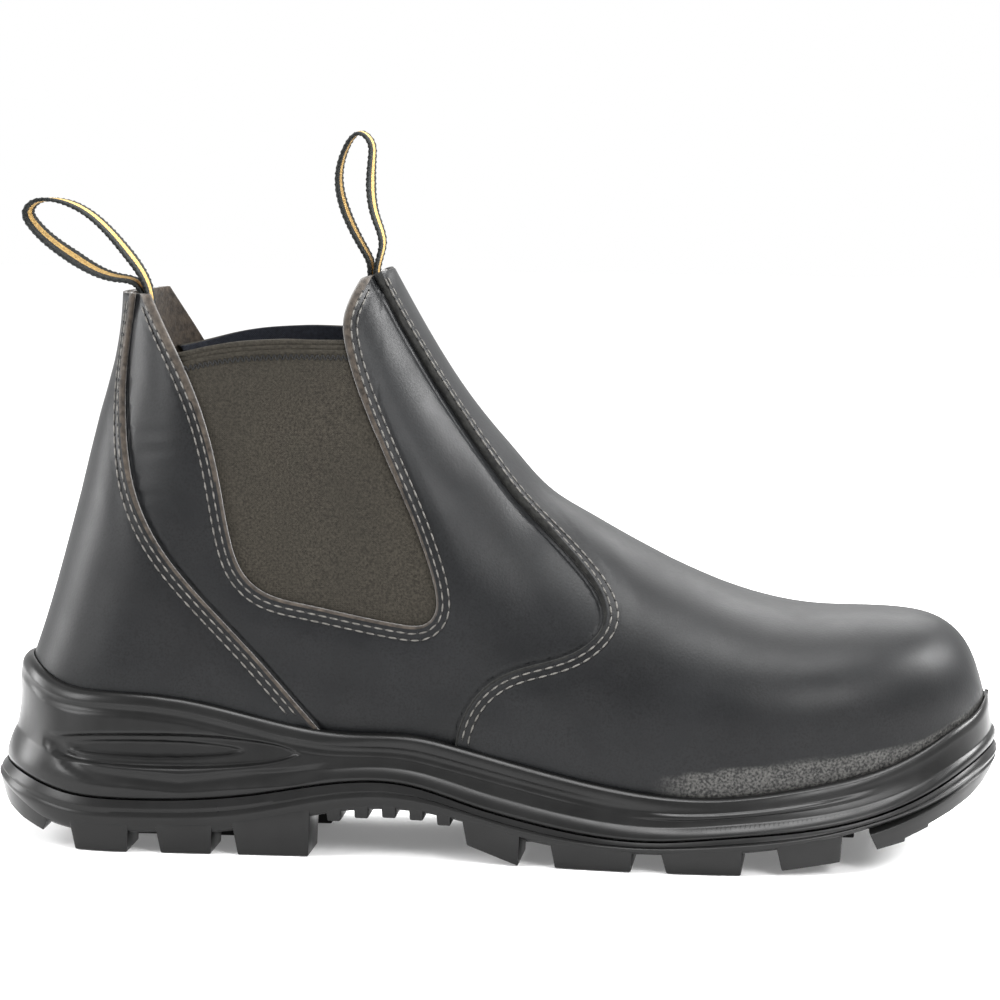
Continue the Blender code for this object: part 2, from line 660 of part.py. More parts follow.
# Pull loops: centre lines in side view, both ends down inside the shaft.
REAR_LOOP = [
    (-110.4, 157.0), (-110.3, 168.3), (-113.0, 171.9), (-118.6, 173.2), (-133.3, 179.9),
    (-145.1, 189.6), (-146.8, 193.3), (-145.1, 196.0), (-140.6, 197.2), (-133.3, 195.9),
    (-116.2, 181.6), (-109.2, 170.4), (-108.5, 157.0)]
FRONT_LOOP = [
    (-31.0, 161.3), (-34.3, 167.0), (-37.8, 174.4), (-37.4, 179.2), (-36.2, 185.0),
    (-38.4, 193.0), (-39.6, 211.3), (-40.2, 216.4), (-42.9, 218.8), (-48.4, 212.5),
    (-48.7, 197.6), (-42.0, 183.2), (-39.8, 178.4), (-39.6, 173.6), (-36.0, 166.1),
    (-32.7, 160.4)]


def strap(name, line):
    """Flat webbing along a line in side view, on the boot's centre line."""
    path = curve(line, STRAP_STEP)
    d = np.gradient(path, axis=0)
    d /= np.linalg.norm(d, axis=1)[:, None]
    n = np.stack([d[:, 1], -d[:, 0]], 1)
    centre = plan('centre', path[:, 0].mean())
    points, faces = [], []
    for p, m in zip(path, n):
        for side, out in ((-1, -1), (1, -1), (1, 1), (-1, 1)):
            x, z = p + m * out * STRAP_THICK / 2
            points.append((x, centre + side * STRAP_WIDTH / 2, z))
    for k in range(len(path) - 1):
        a, b = 4 * k, 4 * (k + 1)
        for i in range(4):
            j = (i + 1) % 4
            faces.append([a + i, b + i, b + j, a + j])
    end = 4 * (len(path) - 1)
    faces += [[0, 1, 2, 3], [end + 3, end + 2, end + 1, end]]
    make(name, points, faces)


def main():
    for obj in list(bpy.data.objects):
        bpy.data.objects.remove(obj)
    upper_pieces()
    midsole_piece()
    insole_piece()
    outsole_piece()
    strap("pull_loop_back", REAR_LOOP)
    strap("pull_loop_front", FRONT_LOOP)


main()
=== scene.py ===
# %% [markdown]
# # Side gore work boot
# This lesson dresses the right boot of a pair: leather, elastic, webbing and moulded rubber.
# The plain solids are already in the frame. The cells below lay one visible piece after another over
# them, because edges, stitches and grain are easier to shape on a fine surface than in a solid.
# The frame is in metres, +Z up, the toe towards +X and the outer side of the foot towards -Y.
# Tables are in millimetres, as a maker measures a boot.

# %% Tools, frame and units
import bpy
import math
import numpy as np
from mathutils import Matrix, Vector


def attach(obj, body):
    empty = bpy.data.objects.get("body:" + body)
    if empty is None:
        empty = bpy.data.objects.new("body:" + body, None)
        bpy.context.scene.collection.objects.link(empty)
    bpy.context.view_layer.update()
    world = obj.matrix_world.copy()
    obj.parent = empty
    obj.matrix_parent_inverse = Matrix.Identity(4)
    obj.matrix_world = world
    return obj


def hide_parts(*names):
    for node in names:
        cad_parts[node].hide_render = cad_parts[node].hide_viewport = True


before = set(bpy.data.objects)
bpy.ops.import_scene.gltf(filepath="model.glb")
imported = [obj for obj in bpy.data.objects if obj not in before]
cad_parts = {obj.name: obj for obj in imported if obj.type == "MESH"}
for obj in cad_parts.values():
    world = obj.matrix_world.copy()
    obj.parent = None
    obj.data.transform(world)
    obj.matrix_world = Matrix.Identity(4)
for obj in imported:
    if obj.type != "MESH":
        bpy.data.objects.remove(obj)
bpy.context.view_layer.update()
MM = 0.001
OUTER, INNER = -1, 1

# %% [markdown]
# ## Camera
# The photo shows the outer side of the boot from a little above, turned a little towards the toe.
# A short lens close by would swell the toe, so a long lens stands one and a half metres away.
# The camera could aim at an empty object. Here its three directions are worked out and rolled by half
# a degree, because that places it in one step and adds nothing else to the scene.

# %% Camera at the photo's angle
CAMERA_DISTANCE, CAMERA_TARGET = 1.5, Vector((0.00095, 0, 0.106))
SENSOR_WIDTH, LENS, NEAREST = 36, 174.42, 0.01
AZIMUTH, ELEVATION, ROLL = (math.radians(a) for a in (5.0, 6.05, 0.5))


def add_camera():
    back = Vector((math.sin(AZIMUTH) * math.cos(ELEVATION),
                   -math.cos(AZIMUTH) * math.cos(ELEVATION),
                   math.sin(ELEVATION)))
    right = (-back).cross(Vector((0, 0, 1))).normalized()
    up = right.cross(-back)
    rolled = (math.cos(ROLL) * right + math.sin(ROLL) * up,
              -math.sin(ROLL) * right + math.cos(ROLL) * up, back)
    matrix = Matrix(rolled).transposed().to_4x4()
    matrix.translation = CAMERA_TARGET + CAMERA_DISTANCE * back
    data = bpy.data.cameras.new("camera")
    data.sensor_width = SENSOR_WIDTH
    data.lens = LENS
    data.clip_start = NEAREST
    camera = bpy.data.objects.new("camera", data)
    camera.matrix_world = matrix
    bpy.context.scene.collection.objects.link(camera)
    bpy.context.scene.camera = camera
    print("camera with a", LENS, "mm lens at", tuple(round(v, 3) for v in matrix.translation))


add_camera()

# %% [markdown]
# ## Form of the last
# Leather takes its shape from the last, the foot-shaped block that it is pulled over.
# The last could be sculpted, or bought as a scan. Here a few short tables give its profile and its
# widths, and smooth curves join them. The solids follow the same lines, so that every visible piece
# lies on its solid, and a change to one row moves the leather, the seams and the stitches together.

# %% Walls of the boot and ends of the sole
OVERLAY, UPPER, GORE = (0.0, 1.78), (1.8, 4.0), (4.05, 5.9)
GAP = 0.3
SOLE_BACK, SOLE_TOE, HEEL_LENGTH = -152.8, 154.6, 46.0
COLLAR_FRONT, COLLAR_HEIGHT = -32.5, 177.4
TOE_START, TOE_WALL, TOE_POWER = 72.0, 42.0, 2.35
TUCK, TUCK_HEIGHT, FRONT_SLOPE = 0.075, 25.0, -1.75
print("upper leather", round(UPPER[1] - UPPER[0], 2), "mm thick")


# %% Short tables with named columns
def table(columns, rows):
    """A short table with named columns."""
    values = np.array(rows, float).T
    return dict(zip(columns.split(), values))


# %% Smooth curve through the rows of a table
def spline(xs, ys, x):
    """Natural cubic spline, straight beyond its ends."""
    x = np.asarray(x, float)
    n = len(xs)
    h = np.diff(xs)
    slope = np.diff(ys) / h
    a = np.zeros((n, n))
    b = np.zeros(n)
    a[0, 0] = a[-1, -1] = 1
    for i in range(1, n - 1):
        a[i, i - 1:i + 2] = h[i - 1], 2 * (h[i - 1] + h[i]), h[i]
        b[i] = 6 * (slope[i] - slope[i - 1])
    m = np.linalg.solve(a, b)
    i = np.clip(np.searchsorted(xs, x) - 1, 0, n - 2)
    t = x - xs[i]
    r = xs[i + 1] - x
    inside = ((m[i] * r ** 3 + m[i + 1] * t ** 3) / (6 * h[i])
              + (ys[i] / h[i] - m[i] * h[i] / 6) * r
              + (ys[i + 1] / h[i] - m[i + 1] * h[i] / 6) * t)
    first = ys[0] + (x - xs[0]) * (slope[0] - h[0] * m[1] / 6)
    last = ys[-1] + (x - xs[-1]) * (slope[-1] + h[-1] * m[-2] / 6)
    return np.where(x < xs[0], first, np.where(x > xs[-1], last, inside))


print("a curve through 0, 1 and 4, halfway to the last:", float(spline([0, 1, 2], [0, 1, 4], 1.5)))


# %% Easing, swelling and measuring
def smooth(x, start, end):
    """0 before start, 1 after end, eased between."""
    t = np.clip((x - start) / (end - start), 0, 1)
    return t * t * (3 - 2 * t)


def bump(t, centre, half):
    """1 at the centre, falling to 0 half a width away on both sides."""
    return np.clip(1 - ((t - centre) / half) ** 2, 0, 1)


def lengths(points):
    """Distance along a line of points, at each point."""
    steps = np.linalg.norm(np.diff(points, axis=0), axis=1)
    return np.concatenate([[0], np.cumsum(steps)])


# %% A smooth line with even steps
def curve(points, spacing):
    """A smooth line through points, evenly spaced along its length."""
    p = np.array(points, float)
    s = lengths(p)
    n = max(2, int(round(s[-1] / spacing)))
    t = np.linspace(0, s[-1], n + 1)
    return np.stack([spline(s, p[:, k], t) for k in range(p.shape[1])], 1)


print("six steps of easing:", np.round(smooth(np.linspace(0, 1, 6), 0, 1), 2))

# %% [markdown]
# ### Profile and widths
# From the side, a boot has a back line, a front ridge and a feather line where leather meets sole.
# From above it is wider on the outer side than on the inner side. Reading these lines off a side view
# gives true heights, and the widths come from what a last of this length measures.

# %% Back line, front ridge and plan of the last
BACK = table("z x", [
    (20, -141.5), (34, -144.2), (50, -145.6), (62, -142.4), (120, -126.4), (160, -117.4), (172, -116.6)])
RIDGE = table("x z", [
    (150.4, 26.0), (152.0, 43.0), (149.9, 53.0), (145.3, 63.9), (137.2, 71.0), (126.0, 73.8),
    (95.5, 75.0), (62.5, 84.4), (26.7, 102.8), (16.2, 109.7), (5.5, 121.2), (-4.9, 133.5),
    (COLLAR_FRONT, COLLAR_HEIGHT)])
PLAN = table("x centre outer inner depth power", [
    (-150, 0.0, 36.0, 36.0, 72, 2.1),
    (-100, 0.3, 36.5, 35.8, 72, 2.1),
    (-60, 0.8, 37.0, 35.0, 72, 2.1),
    (-25, 1.5, 39.8, 35.5, 72, 2.1),
    (10, 2.2, 45.5, 39.0, 68, 2.1),
    (40, 3.0, 51.5, 45.5, 53, 2.2),
    (65, 4.0, 54.0, 48.5, 42, 2.3),
    (90, 5.2, 54.0, 49.0, 34.5, 2.5),
    (115, 6.6, 53.0, 48.0, 31.8, 2.6),
    (152, 8.5, 51.5, 46.5, 31.0, 2.6)])
# %% Rounding of the heel, feather line and collar
HEEL_ROUND = table("z length power", [
    (30, 42, 2.25), (80, 42, 2.2), (130, 42, 2.1), (175, 43, 2.05)])
FEATHER = table("x z", [
    (-146, 35), (-100, 32), (-60, 29), (-20, 25), (20, 17.5), (60, 14.5), (100, 18.5),
    (130, 26), (152, 34)])
COLLAR = table("x z", [
    (-120, 168.9), (-100, 170.4), (-60, 174.0), (COLLAR_FRONT, COLLAR_HEIGHT)])

# %% Front ridge in fine steps
RIDGE_LINE = curve(np.stack([RIDGE['x'], RIDGE['z']], 1), 0.3)
TIP = int(np.argmax(RIDGE_LINE[:, 0]))
TOE_TIP = float(RIDGE_LINE[TIP, 0])
TOP_LINE = RIDGE_LINE[TIP:][::-1]
print("toe of the leather at x =", round(TOE_TIP, 1), "mm")


# %% Lines of the last at any place
def back(z):
    return spline(BACK['z'], BACK['x'], z)


def feather(x):
    return spline(FEATHER['x'], FEATHER['z'], x)


def plan(name, x):
    return spline(PLAN['x'], PLAN[name], x)


def top(x):
    """Height of the front ridge; behind the collar front it runs on upwards."""
    beyond = COLLAR_HEIGHT + (x - COLLAR_FRONT) * FRONT_SLOPE
    return np.where(x < COLLAR_FRONT, beyond, np.interp(x, TOP_LINE[:, 0], TOP_LINE[:, 1]))


print("front ridge over the instep is", round(float(top(20.0)), 1), "mm high")


# %% [markdown]
# ### Width at any place
# A last has no corners, so its section is a rounded arch that closes at the heel and at the toe.
# It could be lofted between drawn sections. A formula is used instead, the width from above times four
# shares, for arch, heel, toe and the tuck at the sole, because it can be asked for any point.

# %% Half width of the last
def half_width(x, z, side):
    """Distance of the last's surface from its centre line, at one side."""
    x = np.asarray(x, float)
    ceiling = top(x)
    depth = np.minimum(plan('depth', x), ceiling - TOE_WALL) + 1e-9
    t = np.clip((z - (ceiling - depth)) / depth, 0, 1)
    arch = np.sqrt(np.clip(1 - t ** plan('power', x), 0, 1))
    length = spline(HEEL_ROUND['z'], HEEL_ROUND['length'], z)
    power = spline(HEEL_ROUND['z'], HEEL_ROUND['power'], z)
    s = np.clip((x - back(z)) / length, 0, 1)
    heel = np.sqrt(np.clip(1 - (1 - s) ** power, 0, 1))
    q = np.clip((x - TOE_START) / (TOE_TIP - TOE_START), 0, 1)
    toe = np.sqrt(np.clip(1 - q ** TOE_POWER, 0, 1))
    tuck = 1 - TUCK * np.clip((feather(x) + TUCK_HEIGHT - z) / TUCK_HEIGHT, 0, 1) ** 2
    return plan('outer' if side < 0 else 'inner', x) * arch * heel * toe * tuck


print("ball of the foot, outer and inner half:",
      [round(float(half_width(65.0, 40.0, side)), 1) for side in (OUTER, INNER)], "mm")

# %% [markdown]
# ### Skin over the last
# The leather is one even skin. A grid seen from above would be too coarse on the steep back of the
# heel, so the columns lean with the back line there and crowd together at the heel and the toe, where
# the boot turns quickly. Every column runs from the feather line up to the collar or the ridge.

# %% Columns from heel to toe
BACK_REFERENCE = float(back(80.0))
HEEL_END = BACK_REFERENCE + HEEL_LENGTH
print("heel turns between x =", round(BACK_REFERENCE, 1), "and", round(HEEL_END, 1), "mm")


def leaned(x0, z):
    """A column's x at height z: columns near the heel lean with the back line."""
    fade = np.clip((COLLAR_FRONT - x0) / (COLLAR_FRONT - BACK_REFERENCE), 0, 1)
    return x0 + (back(z) - BACK_REFERENCE) * fade


# %% Crowded and even columns
def heel_columns(count):
    quarter = np.linspace(0, math.pi / 2, count + 1)
    return list(BACK_REFERENCE + HEEL_LENGTH * (1 - np.cos(quarter)))


def toe_columns(count):
    quarter = np.linspace(0, math.pi / 2, count + 1)
    return list(TOE_START + (TOE_TIP - TOE_START) * np.sin(quarter))


def between(start, end, step):
    """Columns from start to end, without the ends."""
    count = max(2, int(round((end - start) / step)))
    return list(np.linspace(start, end, count + 1)[1:-1])


print("heel columns:", np.round(heel_columns(4), 1))


# %% One column of the skin
COLUMN_SAMPLES, COLLAR_AT, FEATHER_AT = 600, 172.0, 32.0


def column(x0, side, rows):
    """Points of one side of the last from the feather line up to the collar or ridge."""
    u = np.linspace(0, 1, COLUMN_SAMPLES)
    z_low = feather(leaned(x0, FEATHER_AT))
    if x0 < COLLAR_FRONT:
        x_top = leaned(x0, COLLAR_AT)
        z_high = min(float(np.interp(x_top, COLLAR['x'], COLLAR['z'])), float(top(x_top)))
    else:
        z_high = float(top(x0))
    z = z_low + (z_high - z_low) * np.sin(math.pi * u / 2)
    x = leaned(x0, z) * np.ones_like(z)
    w = half_width(x, z, side)
    if x0 <= BACK_REFERENCE + 1e-6 or x0 >= TOE_TIP - 1e-6:
        w = w * 0
    if x0 >= COLLAR_FRONT:
        w[-1] = 0
    p = np.stack([x, plan('centre', x) + side * w, z], 1)
    s = lengths(p)
    t = np.linspace(0, s[-1], rows + 1)
    return np.stack([np.interp(t, s, p[:, k]) for k in range(3)], 1)


print("a column at the ball of the foot starts at", np.round(column(60.0, OUTER, 10)[0], 1))


# %% Normals of the skin
def face_normals(points, faces):
    """Outward direction at every point, averaged from the faces round it."""
    normals = np.zeros_like(points)
    for f in faces:
        p = points[f]
        n = sum(np.cross(p[k] - p[0], p[k + 1] - p[0]) for k in range(1, len(f) - 1))
        normals[f] += n
    return normals / (np.linalg.norm(normals, axis=1)[:, None] + 1e-12)


# %% Skin of both sides as one surface
def skin(columns, rows):
    """The leather surface of both sides: points with their outward normals, and faces."""
    last = len(columns) - 1
    closed_heel = abs(columns[0] - BACK_REFERENCE) < 1e-6
    closed_toe = abs(columns[-1] - TOE_TIP) < 1e-6
    index, points, faces = {}, [], []
    for side in (OUTER, INNER):
        for i, x0 in enumerate(columns):
            line = column(x0, side, rows)
            for j, p in enumerate(line):
                shared = ((i == 0 and closed_heel) or (i == last and closed_toe)
                          or (j == rows and x0 >= COLLAR_FRONT - 1e-6))
                if side == INNER and shared:
                    index[side, i, j] = index[OUTER, i, j]
                    continue
                index[side, i, j] = len(points)
                points.append(p)
        for i in range(last):
            for j in range(rows):
                ring = [index[side, i, j], index[side, i + 1, j],
                        index[side, i + 1, j + 1], index[side, i, j + 1]]
                ring = list(dict.fromkeys(ring))
                faces.append(ring if side == OUTER else ring[::-1])
    points = np.array(points)
    return np.hstack([points, face_normals(points, faces)]), faces


print("a coarse skin of the toe has", len(skin(toe_columns(4), 6)[1]), "faces")

# %% [markdown]
# ## Seams
# The boot is sewn from a vamp, two quarters and a heel counter, and the quarters are notched for
# elastic. Each seam is a smooth line in side view, and both sides of the boot have the same ones.
# Seams could be painted on. Here the skin is cut along them, because a cut edge has a thickness,
# catches light and casts the fine dark line that makes leather look sewn.

# %% Seam lines in side view
COUNTER_SEAM = [
    (-111.0, 176.0), (-112.4, 165.0), (-114.3, 151.0), (-113.2, 127.7), (-109.5, 111.0),
    (-101.7, 95.6), (-92.2, 83.4), (-72.5, 62.5), (-54.0, 41.5), (-51.0, 38.0), (-46.0, 32.0)]
VAMP_SEAM = [
    (-38.4, 182.0), (-31.3, 168.6), (-20.1, 149.5), (1.4, 118.1), (10.7, 106.9), (29.9, 87.7),
    (35.5, 79.2), (36.2, 75.0), (31.0, 67.3), (19.1, 61.9), (6.0, 57.4), (-3.1, 49.7),
    (-7.4, 41.4), (-9.0, 34.0), (-9.5, 25.0), (-9.5, 15.0)]
GORE_EDGE = [
    (-113.0, 178.0), (-106.6, 167.0), (-98.4, 154.2), (-88.9, 136.6), (-82.9, 117.6),
    (-78.4, 94.8), (-75.2, 86.4), (-69.5, 80.6), (-56.2, 76.5), (-25.8, 71.0), (-18.7, 71.5),
    (-15.9, 74.4), (-15.2, 79.5), (-16.9, 87.8), (-36.5, 136.5), (-42.7, 156.8), (-43.2, 163.0),
    (-40.8, 171.1), (-36.0, 180.0)]
GORE_TOP = [(-108.0, 151.2), (-96.7, 152.8), (-87.7, 154.7), (-57.0, 157.5), (-30.0, 158.6)]
print("seam points:", len(COUNTER_SEAM), len(VAMP_SEAM), len(GORE_EDGE), len(GORE_TOP))


# %% Distance to a line in side view
def side_distance(points, line):
    """Distance in side view from each point to a line."""
    p = points[:, [0, 2]]
    best = np.full(len(p), 1e9)
    for a, b in zip(line[:-1], line[1:]):
        e = b - a
        t = np.clip(((p - a) @ e) / (e @ e), 0, 1)
        best = np.minimum(best, np.linalg.norm(p - a - t[:, None] * e, axis=1))
    return best


# %% Which points lie inside an outline
def within(points, outline):
    """True for points inside a closed outline in side view."""
    x, z = points[:, 0], points[:, 2]
    odd = np.zeros(len(points), bool)
    for (x0, z0), (x1, z1) in zip(outline, np.roll(outline, -1, axis=0)):
        if z0 != z1:
            crosses = (z0 > z) != (z1 > z)
            odd ^= crosses & (x < (x1 - x0) * (z - z0) / (z1 - z0) + x0)
    return odd


# %% A leather edge
EDGE_STEP = 2.5


class Edge:
    """A leather edge: its distance in side view is positive on the side of the outline's inside."""

    def __init__(self, line, rest):
        self.line = curve(line, EDGE_STEP)
        self.outline = np.vstack([self.line, rest])

    def distance(self, points):
        d = side_distance(points, self.line)
        return np.where(within(points, self.outline), d, -d)


# %% The four edges of this boot
COUNTER = Edge(COUNTER_SEAM, [(-46, 0), (-200, 0), (-200, 250), (-111, 250)])
VAMP = Edge(VAMP_SEAM, [(-9.5, 0), (200, 0), (200, 250), (-38.4, 250)])
NOTCH = Edge(GORE_EDGE, [(-36, 250), (-113, 250)])
HEM = Edge(GORE_TOP, [(0, 159.5), (0, 0), (-130, 0), (-130, 149.5)])
for label, edge in (("counter", COUNTER), ("vamp", VAMP), ("notch", NOTCH), ("hem", HEM)):
    print(label, "edge", round(lengths(edge.line)[-1]), "mm long in side view")


# %% [markdown]
# ### Cutting the skin
# A knife follows the seam line, not the grid of the skin. A boolean cutter could do the same, but it
# leaves slivers on a thin, curved sheet. So every face that the line crosses is split where its
# distance to the line is zero. The same tool scores extra lines beside an edge, to round it later.

# %% Splitting faces along a line
def divided(data, faces, values):
    """Splits faces along the zero line of values. Returns data, the faces above and those below."""
    added, extra = {}, []
    above, below = [], []
    n = len(data)
    for face in faces:
        signs = values[face] > 0
        if signs.all():
            above.append(face)
            continue
        if not signs.any():
            below.append(face)
            continue
        high, low = [], []
        for a, b in zip(face, face[1:] + face[:1]):
            (high if values[a] > 0 else low).append(a)
            if (values[a] > 0) != (values[b] > 0):
                key = (min(a, b), max(a, b))
                if key not in added:
                    t = min(0.97, max(0.03, values[a] / (values[a] - values[b])))
                    added[key] = n + len(extra)
                    extra.append(data[a] + (data[b] - data[a]) * t)
                high.append(added[key])
                low.append(added[key])
        above.append(high)
        below.append(low)
    if extra:
        data = np.vstack([data, extra])
    return data, [f for f in above if len(f) > 2], [f for f in below if len(f) > 2]


# %% Scoring and keeping
def scored(data, faces, edge, levels):
    """The same surface with its faces split along lines at set distances from an edge."""
    for level in levels:
        data, above, below = divided(data, faces, edge.distance(data) - level)
        faces = above + below
    return data, faces


def kept(data, faces, edge, limit=0.0, sign=1):
    """The part of the surface that lies further than limit to the inside of an edge."""
    data, above, below = divided(data, faces, sign * (edge.distance(data) - limit))
    return trimmed(data, above)


def trimmed(data, faces):
    """The same faces without the points that none of them uses."""
    used = sorted({v for f in faces for v in f})
    place = {v: k for k, v in enumerate(used)}
    return data[used], [[place[v] for v in f] for f in faces]


# %% Points and normals on the last
NORMAL_STEP = 0.4


def on_surface(x, z, side):
    """The point of the last at x and z on one side."""
    return np.stack([x, plan('centre', x) + side * half_width(x, z, side), z], -1)


def surface_normals(x, z, side):
    """Outward direction of the last at x and z."""
    dx = on_surface(x + NORMAL_STEP, z, side) - on_surface(x - NORMAL_STEP, z, side)
    dz = on_surface(x, z + NORMAL_STEP, side) - on_surface(x, z - NORMAL_STEP, side)
    n = np.cross(dx, dz) * -side
    return n / np.linalg.norm(n, axis=1)[:, None]


print("side of the boot at its middle:", np.round(on_surface(0.0, 60.0, OUTER), 1))

# %% [markdown]
# ## Materials
# Waxed leather, raw edges, elastic, webbing, thread and rubber differ more in gloss and grain than in
# colour. Photographs of cloth and hide could be wrapped on. Nodes are used here, because they need no
# unwrapping, have no seams and keep the size of each pore and thread true to the boot.
# A scale below counts features per metre, and a relief is a depth in millimetres.

# %% A finish made of nodes
class Finish:
    """A Principled material with helpers for its nodes. Distances in texture scales are per metre."""

    def __init__(self, name, roughness=0.5, specular=0.5):
        self.material = bpy.data.materials.new(name)
        self.material.use_nodes = True
        self.nodes = self.material.node_tree.nodes
        self.links = self.material.node_tree.links
        self.shader = self.nodes["Principled BSDF"]
        self.shader.inputs["Roughness"].default_value = roughness
        self.shader.inputs["Specular IOR Level"].default_value = specular
        self.place = self.nodes.new("ShaderNodeTexCoord").outputs["Object"]
        self.height = None

    def noise(self, scale, detail):
        node = self.nodes.new("ShaderNodeTexNoise")
        node.inputs["Scale"].default_value = scale
        node.inputs["Detail"].default_value = detail
        self.links.new(self.place, node.inputs["Vector"])
        return node.outputs["Fac"]

    def cells(self, scale):
        node = self.nodes.new("ShaderNodeTexVoronoi")
        node.inputs["Scale"].default_value = scale
        self.links.new(self.place, node.inputs["Vector"])
        return node.outputs["Distance"]

    def wave(self, scale, direction, distortion):
        node = self.nodes.new("ShaderNodeTexWave")
        node.bands_direction = direction
        node.inputs["Scale"].default_value = scale
        node.inputs["Distortion"].default_value = distortion
        self.links.new(self.place, node.inputs["Vector"])
        return node.outputs["Fac"]

    def ramp(self, value, stops):
        """Colours along a value. A stop is its place and a grey or a colour."""
        node = self.nodes.new("ShaderNodeValToRGB")
        self.links.new(value, node.inputs["Fac"])
        elements = node.color_ramp.elements
        while len(elements) < len(stops):
            elements.new(0.5)
        for element, (position, colour) in zip(elements, stops):
            element.position = position
            colour = (colour,) * 3 if isinstance(colour, float) else colour
            element.color = (*colour, 1)
        return node.outputs["Color"]

    def mixed(self, factor, a, b):
        node = self.nodes.new("ShaderNodeMix")
        node.data_type = 'RGBA'
        self.links.new(factor, node.inputs["Factor"])
        for value, socket in ((a, node.inputs["A"]), (b, node.inputs["B"])):
            if isinstance(value, tuple):
                socket.default_value = (*value, 1)
            else:
                self.links.new(value, socket)
        return node.outputs["Result"]

    def attribute(self, name):
        node = self.nodes.new("ShaderNodeAttribute")
        node.attribute_name = name
        return node.outputs["Fac"]

    def colour(self, value):
        self.links.new(value, self.shader.inputs["Base Color"])

    def rough(self, value, low, high):
        self.links.new(self.ramp(value, [(0.25, float(low)), (0.75, float(high))]),
                       self.shader.inputs["Roughness"])

    def relief(self, value, depth, strength):
        """Bump of a given depth in millimetres, over any relief before it."""
        node = self.nodes.new("ShaderNodeBump")
        node.inputs["Strength"].default_value = strength
        node.inputs["Distance"].default_value = depth * MM
        self.links.new(value, node.inputs["Height"])
        if self.height:
            self.links.new(self.height, node.inputs["Normal"])
        self.height = node.outputs["Normal"]
        self.links.new(self.height, self.shader.inputs["Normal"])


# %% [markdown]
# ### Black leather and its cut edges
# The leather is smooth side out and waxed: nearly black, softly glossy, with pores of less than a
# millimetre. One noise gives slow changes of tone and two fine ones give pores. A named value on the
# mesh, rough_band, roughens the strip just above the sole. Cut edges are fibrous, so they get a strong
# relief, no gloss and a little sheen.

# %% Black leather
def leather_finish():
    f = Finish("black_leather", specular=0.15)
    tone = f.ramp(f.noise(28, 4), [(0.3, (0.0022, 0.0024, 0.0028)), (0.7, (0.0048, 0.0052, 0.0059))])
    pores = f.ramp(f.noise(1500, 2), [(0.35, (0.002, 0.002, 0.002)), (0.55, (0.008, 0.0085, 0.009))])
    tone = f.mixed(f.ramp(f.noise(90, 3), [(0.35, 0.15), (0.65, 0.5)]), tone, pores)
    raw = f.ramp(f.noise(1300, 6), [(0.38, (0.010, 0.010, 0.010)), (0.66, (0.062, 0.061, 0.058))])
    f.colour(f.mixed(f.attribute("rough_band"), tone, raw))
    f.rough(f.noise(60, 4), 0.38, 0.48)
    f.relief(f.cells(1100), 0.030, 0.6)
    f.relief(f.noise(2600, 2), 0.020, 0.7)
    f.relief(f.noise(160, 3), 0.10, 0.18)
    return f.material


# %% Cut edges and suede
def suede_finish(name, dark, light, sheen=0.25):
    f = Finish(name, roughness=0.95, specular=0.15)
    f.colour(f.ramp(f.noise(500, 8), [(0.3, dark), (0.7, light)]))
    f.relief(f.noise(900, 6), 0.25, 0.8)
    f.shader.inputs["Sheen Weight"].default_value = sheen
    return f.material


# %% [markdown]
# ### Elastic, webbing and thread
# Gore elastic is a ribbed cloth, brown over black. Crossed waves make its warp and weft, and a fine
# noise breaks them up, since even stripes would look printed. The webbing, the footbed and the thread
# are simpler: a tone that varies and one slanting wave for the twist of the yarn.

# %% Ribbed elastic
def elastic_finish():
    f = Finish("brown_elastic", roughness=0.9, specular=0.15)
    warp = f.wave(430, 'X', 0.6)
    weft = f.wave(520, 'Z', 0.6)
    weave = f.mixed(warp, f.ramp(weft, [(0.2, 0.25), (0.8, 1.0)]), (0.15, 0.15, 0.15))
    speck = f.noise(1400, 3)
    tone = f.ramp(speck, [(0.3, (0.0095, 0.0083, 0.0063)), (0.72, (0.030, 0.0265, 0.0205))])
    f.colour(f.mixed(f.ramp(f.noise(35, 2), [(0.3, 0.0), (0.7, 0.35)]), tone, (0.0145, 0.0130, 0.0105)))
    f.relief(weave, 0.12, 0.6)
    f.relief(speck, 0.10, 0.5)
    return f.material


# %% Webbing and footbed cloth
def cloth_finish(name, dark, light, pitch=900.0):
    f = Finish(name, roughness=0.85, specular=0.2)
    f.colour(f.ramp(f.noise(pitch, 4), [(0.3, dark), (0.7, light)]))
    f.relief(f.wave(pitch, 'DIAGONAL', 1.0), 0.12, 0.6)
    f.relief(f.noise(pitch * 1.6, 3), 0.08, 0.5)
    return f.material


# %% [markdown]
# ### Moulded rubber
# The mould leaves rubber satin and nearly even. Its gloss wanders a little from place to place, and
# that says rubber more clearly than its colour does, so the roughness has a noise of its own.

# %% Black rubber
def rubber_finish():
    f = Finish("black_rubber", specular=0.20)
    f.colour(f.ramp(f.noise(55, 5), [(0.3, (0.0026, 0.0026, 0.0026)), (0.7, (0.0050, 0.0050, 0.0050))]))
    f.rough(f.noise(140, 4), 0.27, 0.38)
    f.relief(f.noise(2400, 2), 0.015, 0.4)
    f.relief(f.noise(120, 3), 0.06, 0.15)
    return f.material


# %% Sewing thread
def thread_finish(name, dark, light):
    f = Finish(name, roughness=0.6, specular=0.3)
    f.colour(f.ramp(f.noise(900, 4), [(0.3, dark), (0.7, light)]))
    f.relief(f.wave(1500, 'DIAGONAL', 0.5), 0.05, 0.6)
    return f.material


